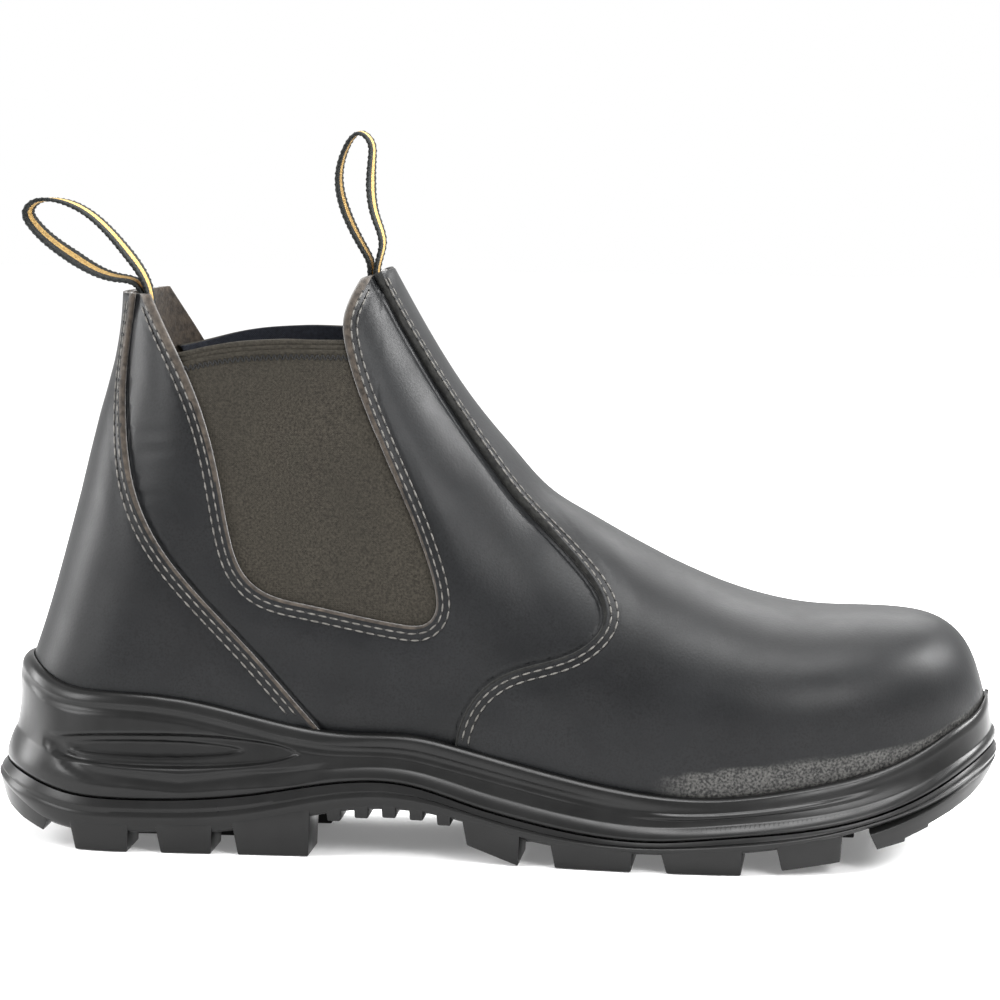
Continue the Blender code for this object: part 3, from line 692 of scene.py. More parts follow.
# %% Finishes of this boot
LEATHER = leather_finish()
EDGE_BROWN = suede_finish("brown_cut_edge", (0.010, 0.0075, 0.0055), (0.046, 0.037, 0.029))
EDGE_BLACK = suede_finish("black_cut_edge", (0.002, 0.002, 0.002), (0.011, 0.011, 0.010), 0.04)
SUEDE = suede_finish("brown_suede", (0.010, 0.007, 0.005), (0.036, 0.027, 0.019))
ELASTIC = elastic_finish()
ELASTIC_BACK = cloth_finish("dark_elastic", (0.004, 0.005, 0.008), (0.012, 0.014, 0.020))
ZIGZAG = thread_finish("black_thread", (0.002, 0.002, 0.002), (0.006, 0.006, 0.006))
WEBBING = cloth_finish("black_webbing", (0.004, 0.005, 0.005), (0.020, 0.022, 0.021), 1300)
STRIPE = cloth_finish("gold_webbing", (0.26, 0.15, 0.045), (0.55, 0.38, 0.14), 1300)
RUBBER = rubber_finish()
THREAD = thread_finish("grey_thread", (0.040, 0.038, 0.034), (0.112, 0.107, 0.098))
# Needle holes are dark bars of painted shade, standing for the shadow inside each hole.
HOLE_SHADE = thread_finish("needle_hole_shade", (0.002, 0.002, 0.002), (0.004, 0.004, 0.004))
FOOTBED = cloth_finish("black_footbed", (0.010, 0.010, 0.010), (0.035, 0.035, 0.035))
print(len(bpy.data.materials), "materials made")


# %% [markdown]
# ## Building pieces
# Every piece below is a list of points and faces turned into a mesh. Blender could also build them
# from primitives by hand. Points are used because the last, the seams and the sole are formulas.
# A piece rides on the root body and replaces its solid.

# %% A finished piece
def piece(name, points, faces, materials, chosen, replaces):
    """A finished object from points in millimetres. chosen gives each face's material, or is None."""
    mesh = bpy.data.meshes.new(name)
    mesh.from_pydata([tuple(p) for p in np.asarray(points) * MM], [], faces)
    for m in materials:
        mesh.materials.append(m)
    if chosen is not None:
        mesh.polygons.foreach_set('material_index', np.array(chosen, dtype=np.int32))
    mesh.shade_smooth()
    obj = bpy.data.objects.new(name, mesh)
    bpy.context.scene.collection.objects.link(obj)
    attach(obj, "root")
    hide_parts(*replaces)
    print(name, len(mesh.vertices), "points", len(mesh.polygons), "faces")
    return obj


# %% A closed wall under the skin
def shell(data, faces, outside, inside):
    """A closed wall under a surface. Also tells which faces are outer (0), inner (1) and rim (2)."""
    n = len(data)
    points, normals = data[:, :3], data[:, 3:]
    normals = normals / (np.linalg.norm(normals, axis=1)[:, None] + 1e-12)
    both = np.vstack([points - normals * np.reshape(outside, (-1, 1)),
                      points - normals * np.reshape(inside, (-1, 1))])
    directed = {(a, b) for f in faces for a, b in zip(f, f[1:] + f[:1])}
    rims = [[b, a, a + n, b + n] for a, b in directed if (b, a) not in directed]
    rims.sort()
    walls = [list(f) for f in faces] + [[v + n for v in f[::-1]] for f in faces] + rims
    kinds = [0] * len(faces) + [1] * len(faces) + [2] * len(rims)
    return both, walls, kinds


# %% Wall thicknesses
print("walls: overlay", OVERLAY[1] - OVERLAY[0], "upper", round(UPPER[1] - UPPER[0], 2),
      "elastic", round(GORE[1] - GORE[0], 2), "mm")

# %% [markdown]
# ### Life in the leather
# Lasted leather is never even. It ripples gently, and creases where the foot bends and behind the gores.
# Displacement from a noise texture would put marks anywhere, so the ripple is a slow sum of sines and each
# crease is a listed line, a soft valley with low ridges beside it.

# %% Ripple and creases
CREASE_RIDGE, CREASE_RIDGE_AT = 0.4, 1.7


def ripple(points, size):
    """A gentle unevenness of hand-lasted leather, in millimetres."""
    x, y, z = points.T / size
    return (np.sin(x * 1.3 + z * 0.7 + 0.4) * np.sin(y * 0.9 - z * 0.8 + 1.1)
            + 0.5 * np.sin(x * 2.1 - z * 1.7 + y * 1.1))


def creased(points, lines, width, depth):
    """Depth of soft creases along lines in side view, fading at both ends."""
    total = np.zeros(len(points))
    side = points[:, [0, 2]]
    for line in lines:
        path = curve(line, 1.0)
        reach = np.abs(side - path.mean(axis=0)).max(axis=1) < 4 * width + lengths(path)[-1] / 2
        close = np.where(reach)[0]
        away = np.linalg.norm(side[close][:, None] - path[None], axis=2)
        share = away.argmin(axis=1) / (len(path) - 1)
        d = away.min(axis=1)
        ridge = CREASE_RIDGE * np.exp(-((d - CREASE_RIDGE_AT * width) / width) ** 2)
        total[close] += depth * np.sin(math.pi * share) * (np.exp(-(d / width) ** 2) - ridge)
    return total


# %% A value for the material at every point
def added_value(obj, name, values):
    """Stores one number a point, which a material can read by its name."""
    layer = obj.data.attributes.new(name, 'FLOAT', 'POINT')
    layer.data.foreach_set('value', np.asarray(values, dtype=np.float32))


# %% Shape of a cut leather edge
# Depth below a piece's surface against the distance from its cut edge.
EDGE_PROFILE = table("distance depth", [
    (0.0, 0.95), (0.35, 0.42), (0.8, 0.12), (1.3, 0.0), (1.9, 0.10), (3.1, 0.16), (4.4, 0.10),
    (5.4, -0.10), (9.0, -0.42), (13.0, -0.30), (20.0, 0.0)])
EDGE_LINES = (0.35, 0.8, 1.3, 1.9, 3.1, 4.4, 5.4)


def edge_depth(distance):
    """How far the leather sinks at a distance from its cut edge."""
    return np.interp(distance, EDGE_PROFILE['distance'], EDGE_PROFILE['depth'])


print("the cut edge is rounded by", EDGE_PROFILE['depth'][0], "mm")

# %% [markdown]
# ## Quarters
# The quarters are the two sides of the shaft, with a notch for each gore and a raw brown edge round
# it. They also run on under the vamp and the counter. They could be a thin sheet with a Solidify
# modifier. The wall is built directly instead, because its outer face sinks towards the notch, dips
# under the overlays and creases behind the gore, while its inner face stays smooth.

# %% Sizes of the leather's marks
RIPPLE_DEPTH, QUARTER_RIPPLE, OVERLAY_RIPPLE = 0.07, 16.0, 15.0
RAW_EDGE = 0.82
UNDERCUT_LINES, UNDERCUT_DEPTH, UNDERCUT_AT, UNDERCUT_HALF = (-1.3, -0.7, -0.1), 0.55, -0.6, 0.75
QUARTER_CREASE_WIDTH, QUARTER_CREASE_DEPTH = 1.3, 0.22
VAMP_CREASE_WIDTH, VAMP_CREASE_DEPTH = 1.5, 0.075
ROUGH_BAND = table("x z", [
    (46, 26.7), (61.4, 29.3), (82, 32.1), (104.8, 34.5), (120, 36), (131.5, 38), (139, 41.2), (152, 48.5)])
VAMP_CREASES = [
    [(48 + 4.5 * k, 66 - 2.2 * k), (52.5 + 4.5 * k, 60.5 - 2.2 * k), (56 + 4.5 * k, 53 - 2.2 * k)]
    for k in range(6)]
QUARTER_CREASES = [
    [(-112.0, 127.0), (-105.0, 128.5), (-96.5, 126.5)],
    [(-111.5, 121.5), (-103.0, 122.5), (-93.5, 124.0)],
    [(-110.5, 110.0), (-102.0, 108.5), (-92.0, 109.5)],
    [(-108.0, 105.0), (-99.0, 104.5), (-90.5, 105.5)]]
print(len(VAMP_CREASES), "creases in the vamp,", len(QUARTER_CREASES), "in each quarter")


# %% Which material each face of a wall gets
def wall_materials(near, kinds):
    """Leather (0) outside, cut edge (1) on faces near the edge and on the rim, suede (2) inside."""
    outer = len(near)
    return [(1 if near[k] else 0) if k < outer else (2, 1)[kind - 1] for k, kind in enumerate(kinds)]


# %% Quarters with their notches
def quarters():
    """Both quarters and the back of the shaft in one piece."""
    columns = (heel_columns(18) + between(HEEL_END, COLLAR_FRONT, 1.5) + [COLLAR_FRONT]
               + between(COLLAR_FRONT, 44, 1.6) + [44.0] + between(44, TOE_START, 5) + toe_columns(12))
    data, faces = skin(columns, 84)
    data, faces = scored(data, faces, NOTCH, [-d for d in EDGE_LINES[::-1]])
    data, faces = kept(data, faces, NOTCH, 0.0, -1)
    for edge in (VAMP, COUNTER):
        data, faces = scored(data, faces, edge, UNDERCUT_LINES)
    depth = UPPER[0] + edge_depth(-NOTCH.distance(data))
    depth = depth + ripple(data[:, :3], QUARTER_RIPPLE) * RIPPLE_DEPTH
    for edge in (VAMP, COUNTER):
        depth = depth + UNDERCUT_DEPTH * bump(edge.distance(data), UNDERCUT_AT, UNDERCUT_HALF)
    depth = depth + creased(data[:, :3], QUARTER_CREASES, QUARTER_CREASE_WIDTH, QUARTER_CREASE_DEPTH)
    points, walls, kinds = shell(data, faces, depth, np.full(len(data), UPPER[1]))
    from_edge = -NOTCH.distance(data)
    # The raw edge shows wider in two steps towards the collar.
    raw = RAW_EDGE + 0.5 * (data[:, 2] > 112) + 0.6 * (data[:, 2] > 138)
    near = [from_edge[f].max() < raw[f].min() for f in faces]
    chosen = wall_materials(near, kinds)
    piece("quarters", points, walls, [LEATHER, EDGE_BROWN, SUEDE], chosen, ["upper"])


quarters()

# %% [markdown]
# ## Vamp and heel counter
# Two more pieces of leather lie over the quarters and are stitched down along their edges. Both are
# made alike, by laying skin, scoring it beside the seam, cutting it and giving it a wall, so one
# function makes them. The vamp also gets its bending creases and the roughened strip above the sole.

# %% An overlay of leather
def overlay(name, node, columns, rows, edge, creases, edge_finish, band):
    """Leather over the quarters, on the inside of one edge."""
    data, faces = skin(columns, rows)
    data, faces = scored(data, faces, edge, EDGE_LINES)
    data, faces = kept(data, faces, edge)
    distance = edge.distance(data)
    waves = ripple(data[:, :3], OVERLAY_RIPPLE) * RIPPLE_DEPTH
    depth = edge_depth(distance) + waves * smooth(distance, 3, 9)
    depth = depth + creased(data[:, :3], creases, VAMP_CREASE_WIDTH, VAMP_CREASE_DEPTH)
    rough = np.zeros(len(data))
    if band:
        x, z = data[:, 0], data[:, 2]
        ceiling = spline(ROUGH_BAND['x'], ROUGH_BAND['z'], x)
        rough = (1 - smooth(z, ceiling - 0.6, ceiling + 0.2)) * smooth(x, 50, 66)
        depth = depth + 0.25 * rough
    points, walls, kinds = shell(data, faces, depth, np.full(len(data), OVERLAY[1]))
    near = [distance[f].max() < RAW_EDGE for f in faces]
    chosen = wall_materials(near, kinds)
    obj = piece(name, points, walls, [LEATHER, edge_finish, SUEDE], chosen, [node])
    added_value(obj, "rough_band", np.concatenate([rough, rough * 0]))


# %% Vamp and heel counter laid down
overlay("vamp_leather", "vamp",
        [-46.0] + between(-46, COLLAR_FRONT, 1.5) + [COLLAR_FRONT]
        + between(COLLAR_FRONT, TOE_START, 1.7) + toe_columns(38),
        70, VAMP, VAMP_CREASES, EDGE_BLACK, True)
overlay("counter_leather", "heel_counter",
        heel_columns(24) + between(HEEL_END, -44, 1.8) + [-44.0],
        76, COUNTER, [], EDGE_BROWN, False)


# %% [markdown]
# ## Elastic gores
# Elastic panels behind the notches let the foot in. Each has a folded hem on top, held by two sewn
# lines. A flat card would do from afar, but the hem's fold catches light, so the panel is cut from the
# same skin as the leather, a wall deeper, thickened at the hem and grooved at its two lines.

# %% Hem of the elastic
GORE_MARGIN, GORE_RIPPLE, GORE_RIPPLE_DEPTH = 8.0, 9.0, 0.06
GROOVE_DEPTH, GROOVE_HALF, HEM_THICKER = 0.45, 0.3, 0.5
HEM_SCORES = (0.4, 1.2, 1.5, 1.8, 2.6, 2.9, 3.2, 4.1, 4.5)
HEM_DEPTH, HEM_LINES = 4.2, (1.5, 2.9)
print("hem of", HEM_DEPTH, "mm with lines at", HEM_LINES, "mm")


# %% One elastic panel
def gore(name, node, side):
    """The elastic of one side, reaching a margin behind the notch."""
    columns = between(-122, -4, 1.8)
    data, faces = skin([-122.0] + columns + [-4.0], 80)
    faces = [f for f in faces if side * data[f][:, 1].mean() > 0]
    data, faces = trimmed(data, faces)
    data, faces = kept(data, faces, NOTCH, -GORE_MARGIN)
    data, faces = scored(data, faces, HEM, HEM_SCORES)
    data, faces = kept(data, faces, HEM)
    t = HEM.distance(data)
    hem = HEM_THICKER * (1 - smooth(t, HEM_DEPTH - 0.2, HEM_DEPTH + 0.2)) * smooth(t, -0.1, 0.5)
    grooves = sum(GROOVE_DEPTH * bump(t, line, GROOVE_HALF) for line in HEM_LINES)
    depth = GORE[0] - hem * smooth(NOTCH.distance(data), 0.5, 2.5) + grooves
    depth = depth + ripple(data[:, :3], GORE_RIPPLE) * GORE_RIPPLE_DEPTH
    points, walls, kinds = shell(data, faces, depth, np.full(len(data), GORE[1]))
    chosen = [(0, 1, 0)[kind] for kind in kinds]
    piece(name, points, walls, [ELASTIC, ELASTIC_BACK], chosen, [node])


# %% Outer and inner gore
gore("elastic_outer", "gore_outer", OUTER)
gore("elastic_inner", "gore_inner", INNER)


# %% [markdown]
# ## Stitches
# Two rows of grey thread hold every leather edge, with a dark needle hole between stitches: a dark bar of
# painted shade, not a recess. Drawing them in a texture would leave them flat, and placing hundreds of
# them by hand would take a day.
# Geometry Nodes repeat one small bar at a list of points. Each point carries two directions, along
# the seam and out of the leather, and the tree turns its bar to both.

# %% Node tree that sews a bar at every point
BAR_SEGMENTS, BAR_RINGS = 8, 5


def thread_tree(name, finish):
    """Node tree: one rounded bar at every point, turned to its attributes along and out."""
    tree = bpy.data.node_groups.new(name, 'GeometryNodeTree')
    face = tree.interface
    face.new_socket("Geometry", in_out='INPUT', socket_type='NodeSocketGeometry')
    for label in ("Length", "Width", "Height"):
        face.new_socket(label, in_out='INPUT', socket_type='NodeSocketFloat')
    face.new_socket("Geometry", in_out='OUTPUT', socket_type='NodeSocketGeometry')
    nodes, link = tree.nodes, tree.links.new
    given = nodes.new('NodeGroupInput')
    bar = nodes.new('GeometryNodeMeshUVSphere')
    bar.inputs["Segments"].default_value = BAR_SEGMENTS
    bar.inputs["Rings"].default_value = BAR_RINGS
    bar.inputs["Radius"].default_value = 0.5
    size = nodes.new('ShaderNodeCombineXYZ')
    for label, axis in (("Length", "X"), ("Width", "Y"), ("Height", "Z")):
        link(given.outputs[label], size.inputs[axis])
    shaped = nodes.new('GeometryNodeTransform')
    link(bar.outputs["Mesh"], shaped.inputs["Geometry"])
    link(size.outputs["Vector"], shaped.inputs["Scale"])
    turn = None
    for label, axis, pivot in (("along", 'X', 'AUTO'), ("out", 'Z', 'X')):
        read = nodes.new('GeometryNodeInputNamedAttribute')
        read.data_type = 'FLOAT_VECTOR'
        read.inputs["Name"].default_value = label
        align = nodes.new('FunctionNodeAlignRotationToVector')
        align.axis = axis
        align.pivot_axis = pivot
        link(read.outputs["Attribute"], align.inputs["Vector"])
        if turn:
            link(turn, align.inputs["Rotation"])
        turn = align.outputs["Rotation"]
    placed = nodes.new('GeometryNodeInstanceOnPoints')
    link(given.outputs["Geometry"], placed.inputs["Points"])
    link(shaped.outputs["Geometry"], placed.inputs["Instance"])
    link(turn, placed.inputs["Rotation"])
    real = nodes.new('GeometryNodeRealizeInstances')
    link(placed.outputs["Instances"], real.inputs["Geometry"])
    dressed = nodes.new('GeometryNodeSetMaterial')
    dressed.inputs["Material"].default_value = finish
    link(real.outputs["Geometry"], dressed.inputs["Geometry"])
    link(dressed.outputs["Geometry"], nodes.new('NodeGroupOutput').inputs["Geometry"])
    return tree


# %% A piece made of bars
def sewn(name, tree, places, size):
    """One piece with a bar at every place; a place is a point, its direction and its outward side."""
    mesh = bpy.data.meshes.new(name + "_points")
    mesh.from_pydata([tuple(p * MM) for p, _, _ in places], [], [])
    for label, k in (("along", 1), ("out", 2)):
        layer = mesh.attributes.new(label, 'FLOAT_VECTOR', 'POINT')
        layer.data.foreach_set('vector', np.array([place[k] for place in places]).ravel())
    carrier = bpy.data.objects.new(name + "_points", mesh)
    bpy.context.scene.collection.objects.link(carrier)
    modifier = carrier.modifiers.new("thread", 'NODES')
    modifier.node_group = tree
    for item in tree.interface.items_tree:
        if item.item_type == 'SOCKET' and item.in_out == 'INPUT' and item.name in size:
            modifier[item.identifier] = size[item.name] * MM
    result = bpy.data.meshes.new_from_object(carrier.evaluated_get(bpy.context.evaluated_depsgraph_get()))
    bpy.data.objects.remove(carrier)
    result.shade_smooth()
    for label in ("along", "out"):
        if label in result.attributes:
            result.attributes.remove(result.attributes[label])
    obj = bpy.data.objects.new(name, result)
    bpy.context.scene.collection.objects.link(obj)
    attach(obj, "root")
    print(name, len(places), "bars")


# %% [markdown]
# ### Rows beside a seam
# A row lies at a fixed distance from the edge, measured on the leather and not in side view. So the
# seam line is moved over the last in ten small steps, each shortened where the leather turns away.
# Without that, the rows would cross at the back of the heel, where the surface faces backwards.

# %% Places of stitches and holes
ROW_STEPS, STITCH_LIFT, LOOK_AHEAD = 10, 0.06, 0.3


# The holes it returns are places for dark bars of painted shade between the stitches.
def row_places(line, offset, side, depth, start_z, end_z, pitch):
    """Stitch and hole places beside an edge, from side view points, both ends limited by height."""
    path = curve(line, 1.0)
    path = np.array([(x, z) for x, z in path if end_z(x) < z < start_z(x)])
    d = np.gradient(path, axis=0)
    d /= np.linalg.norm(d, axis=1)[:, None]
    across = np.stack([d[:, 1], -d[:, 0]], 1) * np.sign(offset)
    for _ in range(ROW_STEPS):
        n = surface_normals(*path.T, side)
        climb = (n[:, 0] * across[:, 0] + n[:, 2] * across[:, 1]) / np.maximum(np.abs(n[:, 1]), 1e-3)
        path = path + across * (abs(offset) / ROW_STEPS / np.sqrt(1 + climb ** 2))[:, None]
    path = np.array([(x, z) for x, z in path if end_z(x) < z < start_z(x)])
    points, normals = on_surface(*path.T, side), surface_normals(*path.T, side)
    points = points - normals * depth
    s = lengths(points)
    stitches, holes = [], []
    for k in range(int(s[-1] / pitch)):
        middle, gap = (k + 0.5) * pitch, (k + 1.0) * pitch
        for target, places in ((middle, stitches), (gap, holes)):
            p = np.array([np.interp(target, s, points[:, i]) for i in range(3)])
            q = np.array([np.interp(target + LOOK_AHEAD, s, points[:, i]) for i in range(3)])
            n = np.array([np.interp(target, s, normals[:, i]) for i in range(3)])
            n /= np.linalg.norm(n)
            forward = q - p
            size = np.linalg.norm(forward)
            if size > 1e-6:
                places.append((p + n * STITCH_LIFT, forward / size, n))
    return stitches, holes


# %% Where the rows end
RUBBER_TOP = table("x z", [
    (-152, 56.8), (-144, 56.6), (-135.5, 52.2), (-118.5, 48.9), (-97.1, 47.8), (-43.3, 37.8),
    (-19.2, 37.2), (-9.6, 35.3), (36.9, 25.2), (68.3, 22.3), (97.3, 25.5), (135.1, 36.9),
    (142.9, 41.4), (149.5, 45.8), (152.2, 49.0), (156, 50.0)])


def rubber_line(x):
    """Just above the rubber's rim."""
    return float(np.interp(x, RUBBER_TOP['x'], RUBBER_TOP['z'])) + 0.5


def collar_line(x):
    """Just below the collar."""
    return float(np.interp(x, COLLAR['x'], COLLAR['z'])) - 1.5


def ridge_line(x):
    """Just below the collar or the front ridge, whichever is lower."""
    return min(collar_line(x), float(top(x)) - 2.0)


print("rows end", round(rubber_line(0.0), 1), "mm above the floor at the middle")

# %% [markdown]
# ### Thread sizes and the rows of this boot
# The photo shows stitches about three and a half millimetres apart in rows two millimetres apart.
# The counter's and the vamp's rows lie on the overlay, and the gore's rows on the quarter round it.

# %% Sizes of thread and rows
ROW_ONE, ROW_TWO = 2.1, 4.15
SEAM_PITCH, GORE_PITCH, THREAD_SINK = 3.6, 3.5, 0.12
STITCH = {"Width": 0.60, "Height": 0.70}
STITCH_GAP = 0.5
# Size of the dark bar of painted shade at each needle hole.
HOLE_SHADE_SIZE = {"Length": 0.85, "Width": 0.85, "Height": 0.44}
print("stitches", SEAM_PITCH - STITCH_GAP, "mm long on the seams")


# %% Rows along the seams
def seam_stitches():
    """Two rows of thread and two of needle holes, dark bars of painted shade, along each seam, on both
    sides.
    """
    rows = (
        ("counter", COUNTER_SEAM, 1, THREAD_SINK, SEAM_PITCH, "counter_leather"),
        ("vamp", VAMP_SEAM, -1, THREAD_SINK, SEAM_PITCH, "vamp_leather"),
        ("gore", GORE_EDGE, 1, UPPER[0] + THREAD_SINK, GORE_PITCH, "quarter_leather"))
    thread, hole = thread_tree("thread", THREAD), thread_tree("needle_hole_shade", HOLE_SHADE)
    for name, line, way, depth, pitch, slot in rows:
        stitches, holes = [], []
        for side in (OUTER, INNER):
            for offset in (ROW_ONE, ROW_TWO):
                found = row_places(line, way * offset, side, depth, ridge_line, rubber_line, pitch)
                stitches += found[0]
                holes += found[1]
        size = {**STITCH, "Length": pitch - STITCH_GAP}
        sewn(name + "_stitches", thread, stitches, size)
        # The needle holes are dark bars of painted shade, not recesses.
        sewn(name + "_needle_holes", hole, holes, HOLE_SHADE_SIZE)


seam_stitches()

# %% [markdown]
# ### Zigzag below the hem
# The hem of the elastic is caught by a black zigzag. It is the same bar again, tilted up and down by
# turns along a line that follows the hem, so the tree that sews the seams sews this too.

# %% Zigzag row
ZIGZAG_FROM, ZIGZAG_TO, ZIGZAG_PITCH, ZIGZAG_PROUD = 4.5, 6.5, 1.7, 0.05
ZIGZAG_BAR = {"Length": 2.25, "Width": 0.52, "Height": 0.80}


def gore_zigzag():
    """Black zigzag sewing below the hem of both gores, between the leather edges."""
    places = []
    middle = (ZIGZAG_FROM + ZIGZAG_TO) / 2
    rise = math.atan2(ZIGZAG_TO - ZIGZAG_FROM, ZIGZAG_PITCH / 2)
    path = curve([(x, z - middle) for x, z in GORE_TOP], ZIGZAG_PITCH / 2)
    within_notch = NOTCH.distance(np.column_stack([path[:, 0], path[:, 0], path[:, 1]])) > -1.0
    path = path[within_notch]
    for side in (OUTER, INNER):
        points = on_surface(*path.T, side)
        normals = surface_normals(*path.T, side)
        forward = np.gradient(points, axis=0)
        for k, (p, n, d) in enumerate(zip(points, normals, forward)):
            d = d / np.linalg.norm(d)
            up = np.cross(n, d) * -side
            tilt = rise if k % 2 else -rise
            places.append((p - n * (GORE[0] - ZIGZAG_PROUD), d * math.cos(tilt) + up * math.sin(tilt), n))
    sewn("gore_zigzag", thread_tree("zigzag", ZIGZAG), places, ZIGZAG_BAR)


gore_zigzag()

# %% [markdown]
# ## Sole
# The sole is moulded in two parts that meet at a parting line. The midsole is a cup whose lip grips the
# leather, and the outsole carries the lugs. Both could be carved out of a block. They are built as
# closed loops stacked upwards instead, as a mould maker draws sections, because each level can swell
# or sink by a formula and the wall keeps clean, even faces.

# %% Outline of the sole from above
SOLE_PLAN = table("x outer inner", [
    (-152, 41.0, 40.5), (-100, 41.0, 40.5), (-60, 41.5, 39.5), (-25, 44.0, 39.5), (10, 50.5, 43.0),
    (40, 56.5, 49.5), (65, 59.8, 52.0), (90, 60.5, 52.0), (115, 60.0, 51.0), (152, 58.5, 49.5)])
SOLE_HEEL_POWER, SOLE_TOE_START = 2.3, 70.0
print("sole", round(SOLE_TOE - SOLE_BACK, 1), "mm long before the lugs")

# %% Parting line and tread line in side view
PARTING = table("x z", [
    (-156, 24.6), (-152.4, 23.8), (-128.4, 17.4), (-115, 16.4), (-70.1, 18.6), (-22.2, 22.7),
    (-2.1, 17.2), (8, 14.8), (52.1, 9.4), (74.8, 11.2), (135.6, 22.9), (156, 34.5)])
TREAD = table("x z", [
    (-156, 19.0), (-150, 14.5), (-105.3, 6.1), (-79.6, 6.9), (-43.2, 14.1), (-15.5, 14.3),
    (16.7, 7.4), (50.3, 5.5), (104, 10.2), (115.7, 12.9), (143, 21.6), (156, 29.0)])

# %% Stations shared by every loop
STATIONS = np.array(heel_columns(34) + between(HEEL_END, TOE_START, 0.95) + toe_columns(80))
STRETCH = (SOLE_TOE - SOLE_BACK) / (STATIONS[-1] - STATIONS[0])
SOLE_STATIONS = SOLE_BACK + (STATIONS - STATIONS[0]) * STRETCH
print(len(STATIONS), "stations from heel to toe")


def height(line, x):
    """Height of a line of the sole at x."""
    return spline(line['x'], line['z'], x)


def joined(x, y):
    """One closed outline from the two sides: outer side back to toe, then the inner side."""
    outer = np.stack([x, y[OUTER]], 1)
    inner = np.stack([x, y[INNER]], 1)
    return np.vstack([outer, inner[-2:0:-1]])


# %% Loops round the sole and round the leather
def sole_loop():
    """The outline of the sole from above."""
    x = SOLE_STATIONS
    s = np.clip((x - SOLE_BACK) / HEEL_LENGTH, 0, 1)
    heel = np.sqrt(np.clip(1 - (1 - s) ** SOLE_HEEL_POWER, 0, 1))
    q = np.clip((x - SOLE_TOE_START) / (SOLE_TOE - SOLE_TOE_START), 0, 1)
    toe = np.sqrt(np.clip(1 - q ** TOE_POWER, 0, 1))
    y = {side: plan('centre', x) + side * spline(SOLE_PLAN['x'], SOLE_PLAN[name], x) * heel * toe
         for side, name in ((OUTER, 'outer'), (INNER, 'inner'))}
    return joined(x, y)


def leather_loop(level):
    """The last's outline at a height that follows x; level is a function of x."""
    grid = np.linspace(TOE_START, TOE_TIP, 1500)
    tip = grid[half_width(grid, level(grid), OUTER) > 0.05][-1]
    stretch = (tip - TOE_START) / (TOE_TIP - TOE_START)
    bases = np.where(STATIONS > TOE_START, TOE_START + (STATIONS - TOE_START) * stretch, STATIONS)
    x = bases
    for _ in range(4):
        x = leaned(bases, level(x))
    z = level(x)
    y = {}
    for side in (OUTER, INNER):
        w = half_width(x, z, side)
        w[0] = w[-1] = 0
        y[side] = plan('centre', x) + side * w
    return joined(x, y)


print("sole outline is", round(lengths(sole_loop())[-1]), "mm round")


# %% Easing and offsetting a loop
EASE_ROUNDS = 8


def eased(loop):
    """The same closed loop of values with its small unevenness ironed out."""
    for _ in range(EASE_ROUNDS):
        loop = (np.roll(loop, 1, axis=0) + 2 * loop + np.roll(loop, -1, axis=0)) / 4
    return loop


def outward(loop):
    """Unit normals of a closed plan outline, pointing away from the foot."""
    d = np.roll(loop, -1, axis=0) - np.roll(loop, 1, axis=0)
    n = np.stack([d[:, 1], -d[:, 0]], 1)
    n = eased(n / (np.linalg.norm(n, axis=1)[:, None] + 1e-12))
    return n / np.linalg.norm(n, axis=1)[:, None]


def offset(loop, distance):
    """The outline moved outwards by a distance, one for all or one for each point."""
    return loop + outward(loop) * np.reshape(distance, (-1, 1))


def lifted(loop, z):
    """A flat loop raised to its heights."""
    return np.column_stack([loop, z * np.ones(len(loop))])


# %% Faces through stacked loops
def tower(levels):
    """Side faces through closed loops of points, each end capped with strips across the foot."""
    n = len(levels[0])
    faces = []
    for k in range(len(levels) - 1):
        a, b = k * n, (k + 1) * n
        faces += [[a + i, a + (i + 1) % n, b + (i + 1) % n, b + i] for i in range(n)]
    for base, way in ((0, -1), ((len(levels) - 1) * n, 1)):
        for i in range(n // 2):
            ring = [base + i, base + i + 1, base + n - i - 1, base + (n - i) % n]
            ring = list(dict.fromkeys(ring))
            if len(ring) > 2:
                faces.append(ring[::way])
    return np.vstack(levels), faces


# %% [markdown]
# ## Midsole
# Its side wall is sculpted: a rounded lip, a groove under it, an almond recess in the heel, a hollow
# waist and short ribs round the toe. Sculpting would take long and wobble. Each feature is a small
# push outwards or inwards that depends on the place along the boot and the height, and they add up.

# %% Lip, recesses and channel of the wall
LIP = table("x out", [(-150, 3.8), (-120, 3.2), (110, 3.2), (140, 2.5), (153, 1.8)])
LIP_ROUND, LIP_INSET = 3.2, 1.0
ALMOND = {'middle': -96.0, 'half_length': 39.0, 'z': 31.3, 'half_height': 5.8, 'depth': 2.4}
INNER_ALMOND = {'middle': -101.0, 'half_length': 27.0, 'z': 31.6, 'half_height': 2.9, 'depth': 1.3}
ALMOND_SOFT, ALMOND_HEEL_END, ALMOND_TOE_END, ALMOND_FADE = 0.5, 0.3, 0.6, 0.25
CHANNEL = table("x z", [(-134, 33), (-129, 27.5), (-121, 23.8), (-93, 21.6), (-58, 24.5), (-40, 28)])
CHANNEL_DEPTH, CHANNEL_HALF = -1.2, 2.7
print("heel recess", 2 * ALMOND['half_length'], "mm long and", ALMOND['depth'], "mm deep")


# %% A recess that narrows to both ends
def almond(x, z, form):
    """How far the wall sinks in a recess with steep sides and a flat floor."""
    along = np.clip(1 - ((x - form['middle']) / form['half_length']) ** 2, 0, 1)
    blunt = np.where(x < form['middle'], ALMOND_HEEL_END, ALMOND_TOE_END)
    half = form['half_height'] * along ** blunt + 1e-6
    fill = np.clip(1 - ((z - form['z']) / half) ** 2, 0, 1)
    return -form['depth'] * along ** ALMOND_FADE * smooth(fill, 0, ALMOND_SOFT)


